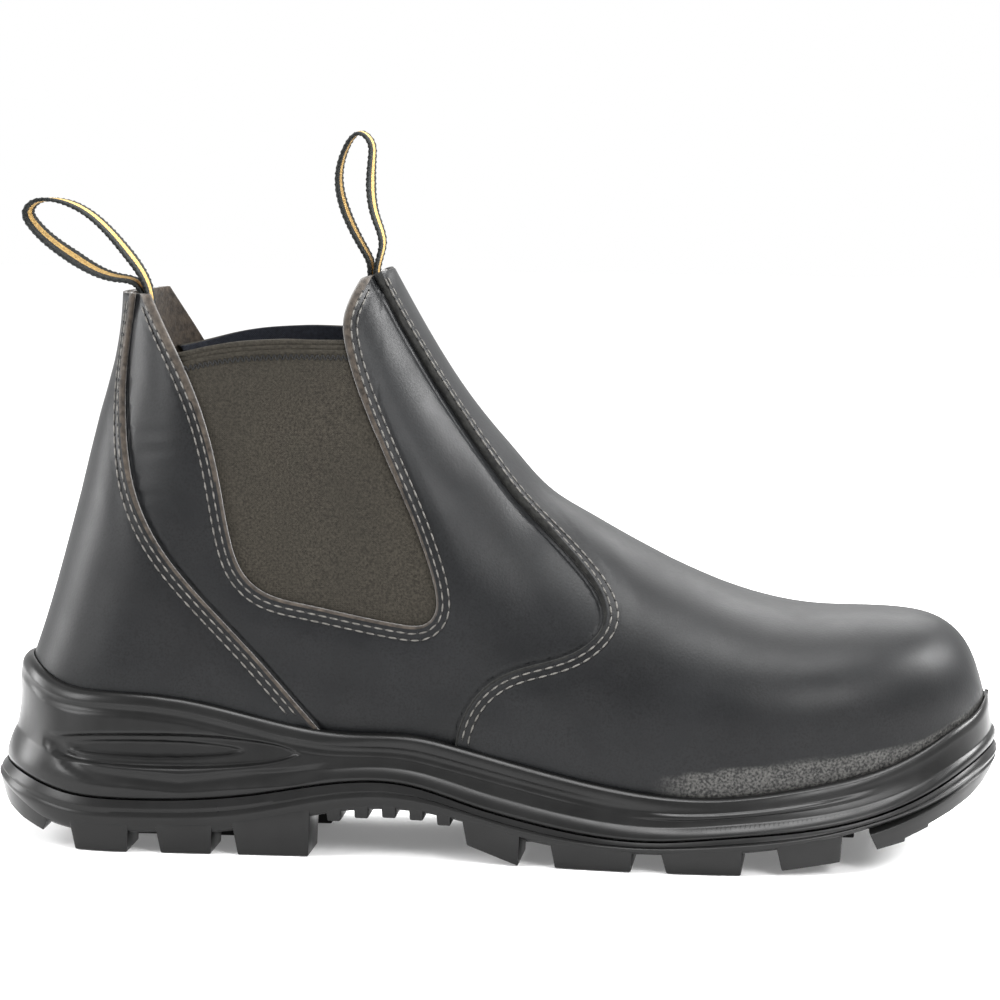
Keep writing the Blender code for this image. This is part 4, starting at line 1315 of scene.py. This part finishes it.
# %% The sculpted wall
# Each swelling is its push outwards, its centre and half its height.
LIP_GROOVE = (-0.7, 5.2, 1.7)
WAIST_HOLLOW = (-1.3, 0.5, 0.42)
HEEL_SWEEP = (-1.6, 0.42, 0.38)
LOW_BAND = (0.8, 0.16, 0.15)
TOE_RIDGE = (0.7, 0.55, 0.08)
PARTING_GROOVE = (-0.4, 0.0, 0.03)


def swelling(value, form):
    """One push of the wall, strongest where value is at the form's centre."""
    push, centre, half = form
    return push * bump(value, centre, half)


def wall_shape(x, z, h, drop):
    """Outward push at x, height z, share of height h and drop below the rim."""
    corner = np.clip(1 - drop / LIP_ROUND, 0, 1)
    depth = np.interp(x, LIP['x'], LIP['out']) - LIP_INSET
    rounded = -depth * (1 - np.sqrt(np.clip(1 - corner ** 2, 0, 1)))
    groove = swelling(drop, LIP_GROOVE) * smooth(x, -150, -125) * (1 - smooth(x, 20, 60))
    recess = almond(x, z, ALMOND) + almond(x, z, INNER_ALMOND)
    hollow = swelling(h, WAIST_HOLLOW) * smooth(x, -62, -30) * (1 - smooth(x, 120, 152))
    sweep = swelling(h, HEEL_SWEEP) * (1 - smooth(x, -150, -128))
    band = swelling(h, LOW_BAND)
    ridge = swelling(h, TOE_RIDGE) * smooth(x, 40, 60) * (1 - smooth(x, 90, 125))
    low = np.interp(x, CHANNEL['x'], CHANNEL['z'])
    channel = swelling(z, (CHANNEL_DEPTH, low, CHANNEL_HALF))
    channel = channel * smooth(x, -138, -127) * (1 - smooth(x, -64, -44))
    parting = swelling(h, PARTING_GROOVE)
    return rounded + groove + recess + hollow + sweep + band + ridge + channel + parting


# %% Floor and rim of the cup
def inner_floor(x):
    """The cup's inside floor, a small gap under the leather."""
    return feather(x) - GAP


def rim(x):
    """Top of the cup's lip."""
    return height(RUBBER_TOP, x)


print("cup at mid foot from", round(float(inner_floor(0.0)), 1), "to", round(float(rim(0.0)), 1), "mm")

# %% [markdown]
# ### Ribs round the toe
# A band of fine upright ribs runs round the forefoot above the parting line. As grooves in the wall
# they would need ten times its faces. They are the stitch bar again, stood upright at an even pitch.

# %% Upright ribs
KNURL = {"Length": 3.4, "Width": 0.75, "Height": 0.7}
KNURL_FROM, KNURL_PITCH, KNURL_HEIGHTS, KNURL_SINK = 40.0, 1.45, (0.10, 0.30), 0.2


def knurled(low, high):
    """Short upright ribs round the toe, between two levels of the wall."""
    middle = (low + high) / 2
    n = outward(middle[:, :2])
    s = lengths(middle)
    places = []
    for target in np.arange(0, s[-1], KNURL_PITCH):
        p, a, b = (np.array([np.interp(target, s, v[:, k]) for k in range(3)])
                   for v in (middle, low, high))
        out = np.array([np.interp(target, s, n[:, 0]), np.interp(target, s, n[:, 1]), 0])
        if p[0] > KNURL_FROM:
            up = (b - a) / np.linalg.norm(b - a)
            places.append((p - out * KNURL_SINK, up, out / np.linalg.norm(out)))
    sewn("toe_ribs", thread_tree("toe_rib", RUBBER), places, KNURL)


# %% The cup, outside and inside
COUNTER_FOOT, VAMP_FOOT, TOE_EASE = -53.0, -9.0, 0.25
WALL_LEVELS, LIP_LEVELS, LIP_FROM = 50, 22, 0.82
INSIDE_SHARES = (1.0, 0.9, 0.78, 0.54, 0.28, 0.0)


def midsole():
    """A closed cup: up the sculpted wall, over the lip and down the inside to the floor."""
    bottom = sole_loop()
    inner_rim = leather_loop(rim)
    x = inner_rim[:, 0]
    outer_rim = eased(offset(inner_rim, np.interp(x, LIP['x'], LIP['out'])))
    low = height(PARTING, bottom[:, 0]) + GAP / 2
    high = rim(x)

    def ring(h):
        z = low + (high - low) * h
        flat = bottom + (outer_rim - bottom) * h
        return lifted(offset(flat, wall_shape(flat[:, 0], z, h, high - z)), z)

    heights = np.concatenate([np.linspace(0, LIP_FROM, WALL_LEVELS),
                              np.linspace(LIP_FROM + 0.02, 1, LIP_LEVELS)])
    levels = [ring(h) for h in heights]
    knurled(*(ring(h) for h in KNURL_HEIGHTS))
    counter = 1 - smooth(x, COUNTER_FOOT + 0.8, COUNTER_FOOT + 5.6)
    vamp = smooth(x, VAMP_FOOT - 5.4, VAMP_FOOT - 0.6)
    clearance = GAP + TOE_EASE * smooth(x, 130, 148) - UPPER[0] * (1 - np.maximum(counter, vamp))
    for share in INSIDE_SHARES:
        def level(s):
            return inner_floor(s) + (rim(s) - inner_floor(s)) * share
        loop = leather_loop(level)
        levels.append(lifted(offset(loop, clearance), level(loop[:, 0])))
    points, faces = tower(levels)
    piece("moulded_midsole", points, faces, [RUBBER], None, ["midsole"])


midsole()

# %% [markdown]
# ## Footbed
# A cloth-covered insole lies inside. It is seen only through the collar, but an open boot without one
# looks hollow. The same loops, drawn inwards and stacked a few millimetres high, make it.

# %% Cloth footbed
INSOLE_INSET, INSOLE_THICK = 4.7, 4.4
FOOTBED_LEVELS = (
    (0.0, 0.4), (0.6, 0.0), (INSOLE_THICK - 1, 0.0), (INSOLE_THICK - 0.3, 0.3), (INSOLE_THICK, 1.0))


def footbed():
    """Five loops from the underside to the rounded top edge."""
    levels = []
    for rise, inset in FOOTBED_LEVELS:
        def level(s):
            return feather(s) + rise
        loop = leather_loop(level)
        levels.append(lifted(offset(loop, -INSOLE_INSET - inset), level(loop[:, 0])))
    points, faces = tower(levels)
    piece("cloth_footbed", points, faces, [FOOTBED], None, ["insole"])


footbed()

# %% [markdown]
# ## Outsole
# The walking part: a body under the parting line, bevelled side lugs, ribs under the arch, bars in the
# middle, and a lug wrapped round the heel and another round the toe. A boolean of the whole tread
# would be slow and fragile. Each lug is a small closed block that overlaps the body, bevelled by
# itself, and all of them are joined into one piece, as they look when they come from the mould.

# %% Side lugs and ribs
LUG_DROP, LUG_PROUD, LUG_LEAN, LUG_REACH = 4.6, 0.5, 1.8, 0.55
RIB_LENGTH, RIB_DEPTH, RIB_REACH = 4.7, 2.6, 0.4
LUG_BEVEL = 0.45
LUGS = table("start end low_start low_end", [
    (-127.5, -108.5, 0, 0), (-100.5, -82.7, 0, 0), (-76.8, -52.7, 0, 0),
    (-6.2, 12.1, 5.4, 0), (21.0, 46.5, 0, 0), (54.9, 79.6, 0, 0), (89.4, 109.1, 1.5, 3.6)])
LUG_BLOCK_PARTS, RIB_PARTS, RIB_PROUD, RIB_LEAN = 8, 2, 0.2, 0.5
LUG_ROOF_GAP, LUG_ROOF_INSET, LUG_SHOULDER, LUG_FOOT_INSET = 1.2, 2.2, 1.6, 0.7
LUG_INNER_RISE, LUG_INNER_GAP, LUG_TAPER, LEAST_TURN = 2.0, 0.4, 1.3, 0.6
ARCH_RIBS = [-48.0, -39.5, -31.0, -22.5, -14.0]
print(2 * len(LUGS['start']), "side lugs and", 2 * len(ARCH_RIBS), "arch ribs")

# %% Lugs wrapped round the heel and the toe
HEEL_BACK_LUG = [
    (-160, 30), (-160, 17), (-154.2, 15.5), (-149.4, 10.2), (-144.0, 7.4), (-136.6, 4.7),
    (-134.6, 9.0), (-134.6, 30)]
TOE_LUG = [
    (117.0, 40), (117.0, 12.5), (119.5, 6.9), (127.6, 8.6), (127.9, 9.7), (134.6, 12.2), (134.9, 13.2),
    (141.5, 16.2), (147.5, 19.6), (151.5, 23.2), (156.5, 30.5), (160, 40)]
WRAP_LEVELS = table("push drop", [(-2.2, 17.0), (0.6, 5.0), (-2.2, 3.0)])
WRAP_STEPS, WRAP_BEVEL = 13, 0.35
SIDE = 90

# %% Bars in the middle and levels of the body
CENTRE_BARS = table("start end width low", [
    (-118, -104, 15, 0), (-94, -80, 15, 0), (-70, -58, 13, 0), (6, 18, 16, 0), (34, 50, 20, 0),
    (66, 82, 20, 0), (96, 112, 18, 3.2)])
OUTSOLE_LEVELS = table("share push", [(0.0, -0.6), (0.45, 0.9), (0.8, 0.7), (1.0, 0.1)])
HEEL_BULGE, HEEL_BULGE_END = 1.6, -130.0
BODY_LEVELS, BAR_RISE, SHARP_ANGLE = 15, 1.5, 40
BODY_FOOT, BODY_FOOT_SHARE = 0.7, 0.12
BODY_GROOVE = (0.5, 0.62, 0.08)
print(len(CENTRE_BARS['start']), "centre bars")


# %% The edge of the sole at a place
def edge_at(loop, x, side):
    """Point and outward normal of the outline at x on one side."""
    n = len(loop)
    half = n // 2
    normal = outward(loop)
    part, m = ((loop[:half + 1], normal[:half + 1]) if side < 0 else
               (np.vstack([loop[half:], loop[:1]])[::-1], np.vstack([normal[half:], normal[:1]])[::-1]))
    p = np.array([x, np.interp(x, part[:, 0], part[:, 1])])
    m = np.array([np.interp(x, part[:, 0], m[:, 0]), np.interp(x, part[:, 0], m[:, 1])])
    return p, m / np.linalg.norm(m)


# %% A leaning block under the edge
def lug(loop, side, start, end, low, reach, proud, lean, parts):
    """A block under the sole's edge. low is the bottom height at start and end."""
    points, faces = [], []
    for k in range(parts + 1):
        share = k / parts
        x = start + (end - start) * share
        foot_x = start + lean + (end - start - LUG_TAPER * lean) * share
        foot = low[0] + (low[1] - low[0]) * share
        p, m = edge_at(loop, x, side)
        base = float(height(TREAD, x))
        roof = min(base + LUG_DROP, float(height(PARTING, x)) - LUG_ROOF_GAP)
        centre = float(plan('centre', x))
        inner = centre + (p[1] - centre) * (1 - reach)
        out = side / max(LEAST_TURN, abs(m[1]))
        points += [(x, p[1] - out * LUG_ROOF_INSET, roof), (x, p[1] + out * proud, roof - LUG_SHOULDER),
                   (foot_x, p[1] - out * LUG_FOOT_INSET, foot), (foot_x, inner, foot),
                   (x, inner, min(base + LUG_INNER_RISE, roof - LUG_INNER_GAP))]
    for k in range(parts):
        a, b = 5 * k, 5 * k + 5
        faces += [[a + i, b + i, b + (i + 1) % 5, a + (i + 1) % 5] for i in range(5)]
    faces += [[0, 1, 2, 3, 4], [5 * parts + i for i in (4, 3, 2, 1, 0)]]
    return points, [ring[::side] for ring in faces] if side < 0 else faces


# %% Plain blocks and prisms
def block(x0, x1, y0, y1, z0, z1):
    """A box between two corners."""
    points = [(x, y, z) for z in (z0, z1) for y in (y0, y1) for x in (x0, x1)]
    faces = [[0, 2, 3, 1], [4, 5, 7, 6], [0, 1, 5, 4], [2, 6, 7, 3], [0, 4, 6, 2], [1, 3, 7, 5]]
    return points, faces


def prism(outline, low, high):
    """A side view outline drawn out across the foot."""
    n = len(outline)
    points = [(x, y, z) for y in (low, high) for x, z in outline]
    sides = [[i, (i + 1) % n, (i + 1) % n + n, i + n] for i in range(n)]
    return points, sides + [list(range(n))[::-1], list(range(n, 2 * n))]


# %% Modifiers applied to a part
def loose(name, points, faces):
    """A part that is joined to others later."""
    mesh = bpy.data.meshes.new(name)
    mesh.from_pydata([tuple(p) for p in np.asarray(points, float) * MM], [], faces)
    mesh.validate()
    obj = bpy.data.objects.new(name, mesh)
    bpy.context.scene.collection.objects.link(obj)
    return obj


def changed(obj, kind, **settings):
    """Applies one modifier and keeps its result."""
    modifier = obj.modifiers.new("m", kind)
    for key, value in settings.items():
        setattr(modifier, key, value)
    result = bpy.data.meshes.new_from_object(obj.evaluated_get(bpy.context.evaluated_depsgraph_get()))
    obj.modifiers.clear()
    obj.data = result
    return obj


def bevelled(obj, width):
    """The part with its sharp edges rounded."""
    return changed(obj, 'BEVEL', width=width * MM, segments=2, limit_method='ANGLE',
                   angle_limit=math.radians(32), harden_normals=False)


# %% A lug that follows the sole round an end
def wrap_lug(outline, x, bulge, low_line):
    """A band round the sole, cut to the lug's outline in side view."""
    steps = np.linspace(0, 2, WRAP_STEPS)
    rows = np.interp(steps, [0, 1, 2], WRAP_LEVELS['push'])
    drops = np.interp(steps, [0, 1, 2], WRAP_LEVELS['drop'])
    points, faces = tower([lifted(offset(outline, push + bulge), height(PARTING, x) - drop)
                           for push, drop in zip(rows, drops)])
    wrap = loose("wrap", points, faces)
    cutter = loose("cutter", *prism(low_line, -SIDE, SIDE))
    changed(wrap, 'BOOLEAN', operation='INTERSECT', solver='EXACT', object=cutter)
    bpy.data.objects.remove(cutter)
    return wrap


# %% Body of the outsole
def outsole_body(outline, bulge):
    """The body between tread line and parting line, with a groove along its side."""
    x = outline[:, 0]
    top_z = height(PARTING, x) - GAP / 2
    base_z = height(TREAD, x)
    levels = []
    for share in np.linspace(0, 1, BODY_LEVELS):
        push = float(spline(OUTSOLE_LEVELS['share'], OUTSOLE_LEVELS['push'], share))
        push -= BODY_FOOT * max(0, 1 - share / BODY_FOOT_SHARE) ** 2 + float(swelling(share, BODY_GROOVE))
        loop = offset(outline, push + bulge * (1 - abs(2 * share - 0.9)))
        levels.append(lifted(loop, base_z + (top_z - base_z) * share))
    return loose("outsole_body", *tower(levels))


# %% Lugs and ribs of one side
def side_parts(outline, side):
    """The bevelled lugs and arch ribs under one edge."""
    parts = []
    for start, end, low_start, low_end in zip(*LUGS.values()):
        shape = lug(outline, side, start, end, (low_start, low_end),
                    LUG_REACH, LUG_PROUD, LUG_LEAN, LUG_BLOCK_PARTS)
        parts.append(bevelled(loose("lug", *shape), LUG_BEVEL))
    for start in ARCH_RIBS:
        low = float(height(TREAD, start + RIB_LENGTH / 2)) - RIB_DEPTH
        shape = lug(outline, side, start, start + RIB_LENGTH, (low, low),
                    RIB_REACH, RIB_PROUD, RIB_LEAN, RIB_PARTS)
        parts.append(bevelled(loose("rib", *shape), LUG_BEVEL))
    return parts


# %% Bars under the middle of the foot
def centre_bars():
    """Bevelled bars across the middle line."""
    parts = []
    for start, end, width, low in zip(*CENTRE_BARS.values()):
        middle = (start + end) / 2
        y = float(plan('centre', middle))
        roof = float(height(TREAD, middle)) + BAR_RISE
        shape = block(start, end, y - width / 2, y + width / 2, low, roof)
        parts.append(bevelled(loose("bar", *shape), LUG_BEVEL))
    return parts


# %% The outsole in one piece
def outsole():
    """Body, lugs, ribs, wrapped lugs and bars joined."""
    outline = sole_loop()
    x = outline[:, 0]
    bulge = HEEL_BULGE * (1 - smooth(x, SOLE_BACK, HEEL_BULGE_END))
    parts = [outsole_body(outline, bulge)]
    for side in (OUTER, INNER):
        parts += side_parts(outline, side)
    for low_line in (HEEL_BACK_LUG, TOE_LUG):
        parts.append(bevelled(wrap_lug(outline, x, bulge, low_line), WRAP_BEVEL))
    parts += centre_bars()
    print(len(parts), "parts joined into the outsole")
    points, faces = [], []
    for part in parts:
        faces += [[v + len(points) for v in f.vertices] for f in part.data.polygons]
        points += [tuple(v.co / MM) for v in part.data.vertices]
        bpy.data.objects.remove(part)
    obj = piece("lugged_outsole", points, faces, [RUBBER], None, ["outsole"])
    obj.data.set_sharp_from_angle(angle=math.radians(SHARP_ANGLE))


outsole()

# %% [markdown]
# ## Pull loops
# Two loops of webbing help to pull the boot on. Each is one flat band with a gold stripe and a knotted
# border, bent over, twisted a little and sewn in at the collar. Cloth simulation would give a new bend
# each time. The bend is a smooth line through given points, and the band is swept along it, with the knots
# and the weave as small waves of its own surface.

# %% The bends of both loops
REAR_LOOP = [
    (-110.4, 157.0), (-110.3, 168.3), (-113.0, 171.9), (-118.6, 173.2), (-133.3, 179.9),
    (-145.1, 189.6), (-146.8, 193.3), (-145.1, 196.0), (-140.6, 197.2), (-133.3, 195.9),
    (-116.2, 181.6), (-109.2, 170.4), (-108.5, 157.0)]
FRONT_LOOP = [
    (-31.0, 161.3), (-34.3, 167.0), (-37.8, 174.4), (-37.4, 179.2), (-36.2, 185.0),
    (-38.4, 193.0), (-39.6, 211.3), (-40.2, 216.4), (-42.9, 218.8), (-48.4, 212.5),
    (-48.7, 197.6), (-42.0, 183.2), (-39.8, 178.4), (-39.6, 173.6), (-36.0, 166.1),
    (-32.7, 160.4)]
REAR_TWIST = table("share turn", [(0, 0), (0.12, 4), (0.3, 15), (0.45, 10), (0.6, -3), (0.8, -7), (1, 0)])
FRONT_TWIST = table("share turn", [(0, 0), (0.2, 3), (0.35, 7), (0.5, 0), (0.7, -6), (0.85, -3), (1, 0)])
print("webbing", round(lengths(curve(REAR_LOOP, 1.0))[-1]), "mm at the back and",
      round(lengths(curve(FRONT_LOOP, 1.0))[-1]), "mm in front")

# %% Sizes of the webbing
STRAP_WIDTH, STRAP_THICK, STRAP_STEP, STRAP_ROWS = 11.0, 1.3, 0.55, 23
BORDER_PITCH, BORDER_FROM, KNOT_HEIGHT, KNOT_SPREAD, BORDER_MARGIN = 1.7, 0.7, 0.12, 0.02, 0.25
WEAVE_HEIGHT, WEAVE_PITCH, WEAVE_SLANT = 0.05, 1.1, 3
ROUND_FROM, STRIPE_HALF = 0.86, 0.34


# %% Height of the webbing's surface
def webbing_point(u, way, along):
    """Place across the band and height over its middle, for a share u of half its width."""
    past = max(0.0, abs(u) - ROUND_FROM) / (1 - ROUND_FROM)
    rounding = math.sqrt(max(0.0, 1 - past ** 2))
    knots = math.cos(2 * math.pi * along / BORDER_PITCH)
    knot = KNOT_HEIGHT * knots if abs(u) > BORDER_FROM else 0.0
    weave = WEAVE_HEIGHT * math.cos(2 * math.pi * (along / WEAVE_PITCH + u * WEAVE_SLANT))
    half = STRAP_THICK / 2 - KNOT_HEIGHT
    y = u * (STRAP_WIDTH / 2 - BORDER_MARGIN) * (1 + KNOT_SPREAD * knots)
    return y, way * (half + knot + weave) * rounding


# %% A band swept along its bend
def strap(name, node, line, twist):
    """One pull loop of webbing with its gold stripe."""
    path = curve(line, STRAP_STEP)
    d = np.gradient(path, axis=0)
    d /= np.linalg.norm(d, axis=1)[:, None]
    n = np.stack([d[:, 1], -d[:, 0]], 1)
    centre = float(plan('centre', path[:, 0].mean()))
    s = lengths(path)
    turns = np.radians(np.interp(s / s[-1], twist['share'], twist['turn']))
    across = np.linspace(-1, 1, STRAP_ROWS)
    profile = [(u, 1) for u in across] + [(u, -1) for u in across[::-1]]
    points, chosen, faces = [], [], []
    for p, m, along, turn in zip(path, n, s, turns):
        for u, way in profile:
            y, lift = webbing_point(u, way, along)
            sideways = y * math.cos(turn) - lift * math.sin(turn)
            out = y * math.sin(turn) + lift * math.cos(turn)
            points.append((p[0] + m[0] * out, centre + sideways, p[1] + m[1] * out))
    n_ring = len(profile)
    for k in range(len(path) - 1):
        for i in range(n_ring):
            j = (i + 1) % n_ring
            faces.append([k * n_ring + i, (k + 1) * n_ring + i, (k + 1) * n_ring + j, k * n_ring + j])
            u = (profile[i][0] + profile[j][0]) / 2
            chosen.append(1 if abs(u) < STRIPE_HALF else 0)
    end = n_ring * (len(path) - 1)
    faces += [list(range(n_ring)), [end + i for i in range(n_ring)][::-1]]
    chosen += [0, 0]
    piece(name, points, faces, [WEBBING, STRIPE], chosen, [node])


# %% Both pull loops
strap("webbing_back", "pull_loop_back", REAR_LOOP, REAR_TWIST)
strap("webbing_front", "pull_loop_front", FRONT_LOOP, FRONT_TWIST)

# %% [markdown]
# ## Light and floor
# The boot stands in a white studio. A bright picture of a room could light it, but black leather shows
# its form mainly by the shapes that it mirrors. So six soft boxes stand round it, each where the photo
# has a highlight: above, at both front corners, beside the toe, beside the heel and behind.

# %% Soft boxes
# Name, place, aim, size and power of each lamp.
LAMPS = [
    ("above", (0.12, -0.12, 1.1), (0.02, 0, 0.06), (0.7, 0.5), 20),
    ("front_right", (0.62, -0.80, 0.58), (0.04, 0, 0.06), (0.5, 0.4), 12),
    ("front_left", (-0.95, -0.55, 0.50), (-0.08, 0, 0.09), (0.3, 0.6), 10),
    ("toe_side", (0.90, 0.25, 0.70), (0.1, 0, 0.06), (0.35, 0.35), 18),
    ("heel_side", (-1.0, 0.20, 0.35), (-0.1, 0, 0.08), (0.3, 0.6), 9),
    ("behind", (0.1, 0.9, 0.8), (0, 0, 0.1), (0.9, 0.5), 8)]


def softbox(name, place, aim, size, power):
    """A white area lamp turned to its aim."""
    data = bpy.data.lights.new(name, 'AREA')
    data.shape = 'RECTANGLE'
    data.size, data.size_y = size
    data.energy = power
    lamp = bpy.data.objects.new(name, data)
    lamp.location = place
    lamp.rotation_euler = (Vector(aim) - Vector(place)).to_track_quat('-Z', 'Y').to_euler()
    bpy.context.scene.collection.objects.link(lamp)


for lamp_row in LAMPS:
    softbox(*lamp_row)
print(len(LAMPS), "soft boxes")

# %% White room
world = bpy.data.worlds.new("studio")
world.use_nodes = True
world.node_tree.nodes["Background"].inputs["Color"].default_value = (1, 1, 1, 1)
world.node_tree.nodes["Background"].inputs["Strength"].default_value = 1.0
bpy.context.scene.world = world
bpy.context.scene.view_settings.view_transform = 'Standard'


# %% [markdown]
# ## Floor
# A matte white plane carries the soft shadow under the lugs. It lies a fraction of a millimetre below
# them, so that the two never share a surface, and glows faintly to stay as pale as the photo's ground.

# %% Floor just under the lugs
FLOOR_REACH, FLOOR_HEIGHT, FLOOR_GREY, FLOOR_GLOW, FLOOR_ROUGHNESS = 3.0, -0.0002, 0.82, 0.18, 0.9


def floor():
    """A matte white plane, staged and not part of the boot."""
    mesh = bpy.data.meshes.new("floor")
    corners = ((-1, -1), (1, -1), (1, 1), (-1, 1))
    mesh.from_pydata([(x * FLOOR_REACH, y * FLOOR_REACH, FLOOR_HEIGHT) for x, y in corners], [],
                     [[0, 1, 2, 3]])
    white = bpy.data.materials.new("white_floor")
    white.use_nodes = True
    shader = white.node_tree.nodes["Principled BSDF"]
    shader.inputs["Base Color"].default_value = (FLOOR_GREY, FLOOR_GREY, FLOOR_GREY, 1)
    shader.inputs["Emission Color"].default_value = (1, 1, 1, 1)
    shader.inputs["Emission Strength"].default_value = FLOOR_GLOW
    shader.inputs["Roughness"].default_value = FLOOR_ROUGHNESS
    mesh.materials.append(white)
    obj = bpy.data.objects.new("floor", mesh)
    bpy.context.scene.collection.objects.link(obj)


floor()
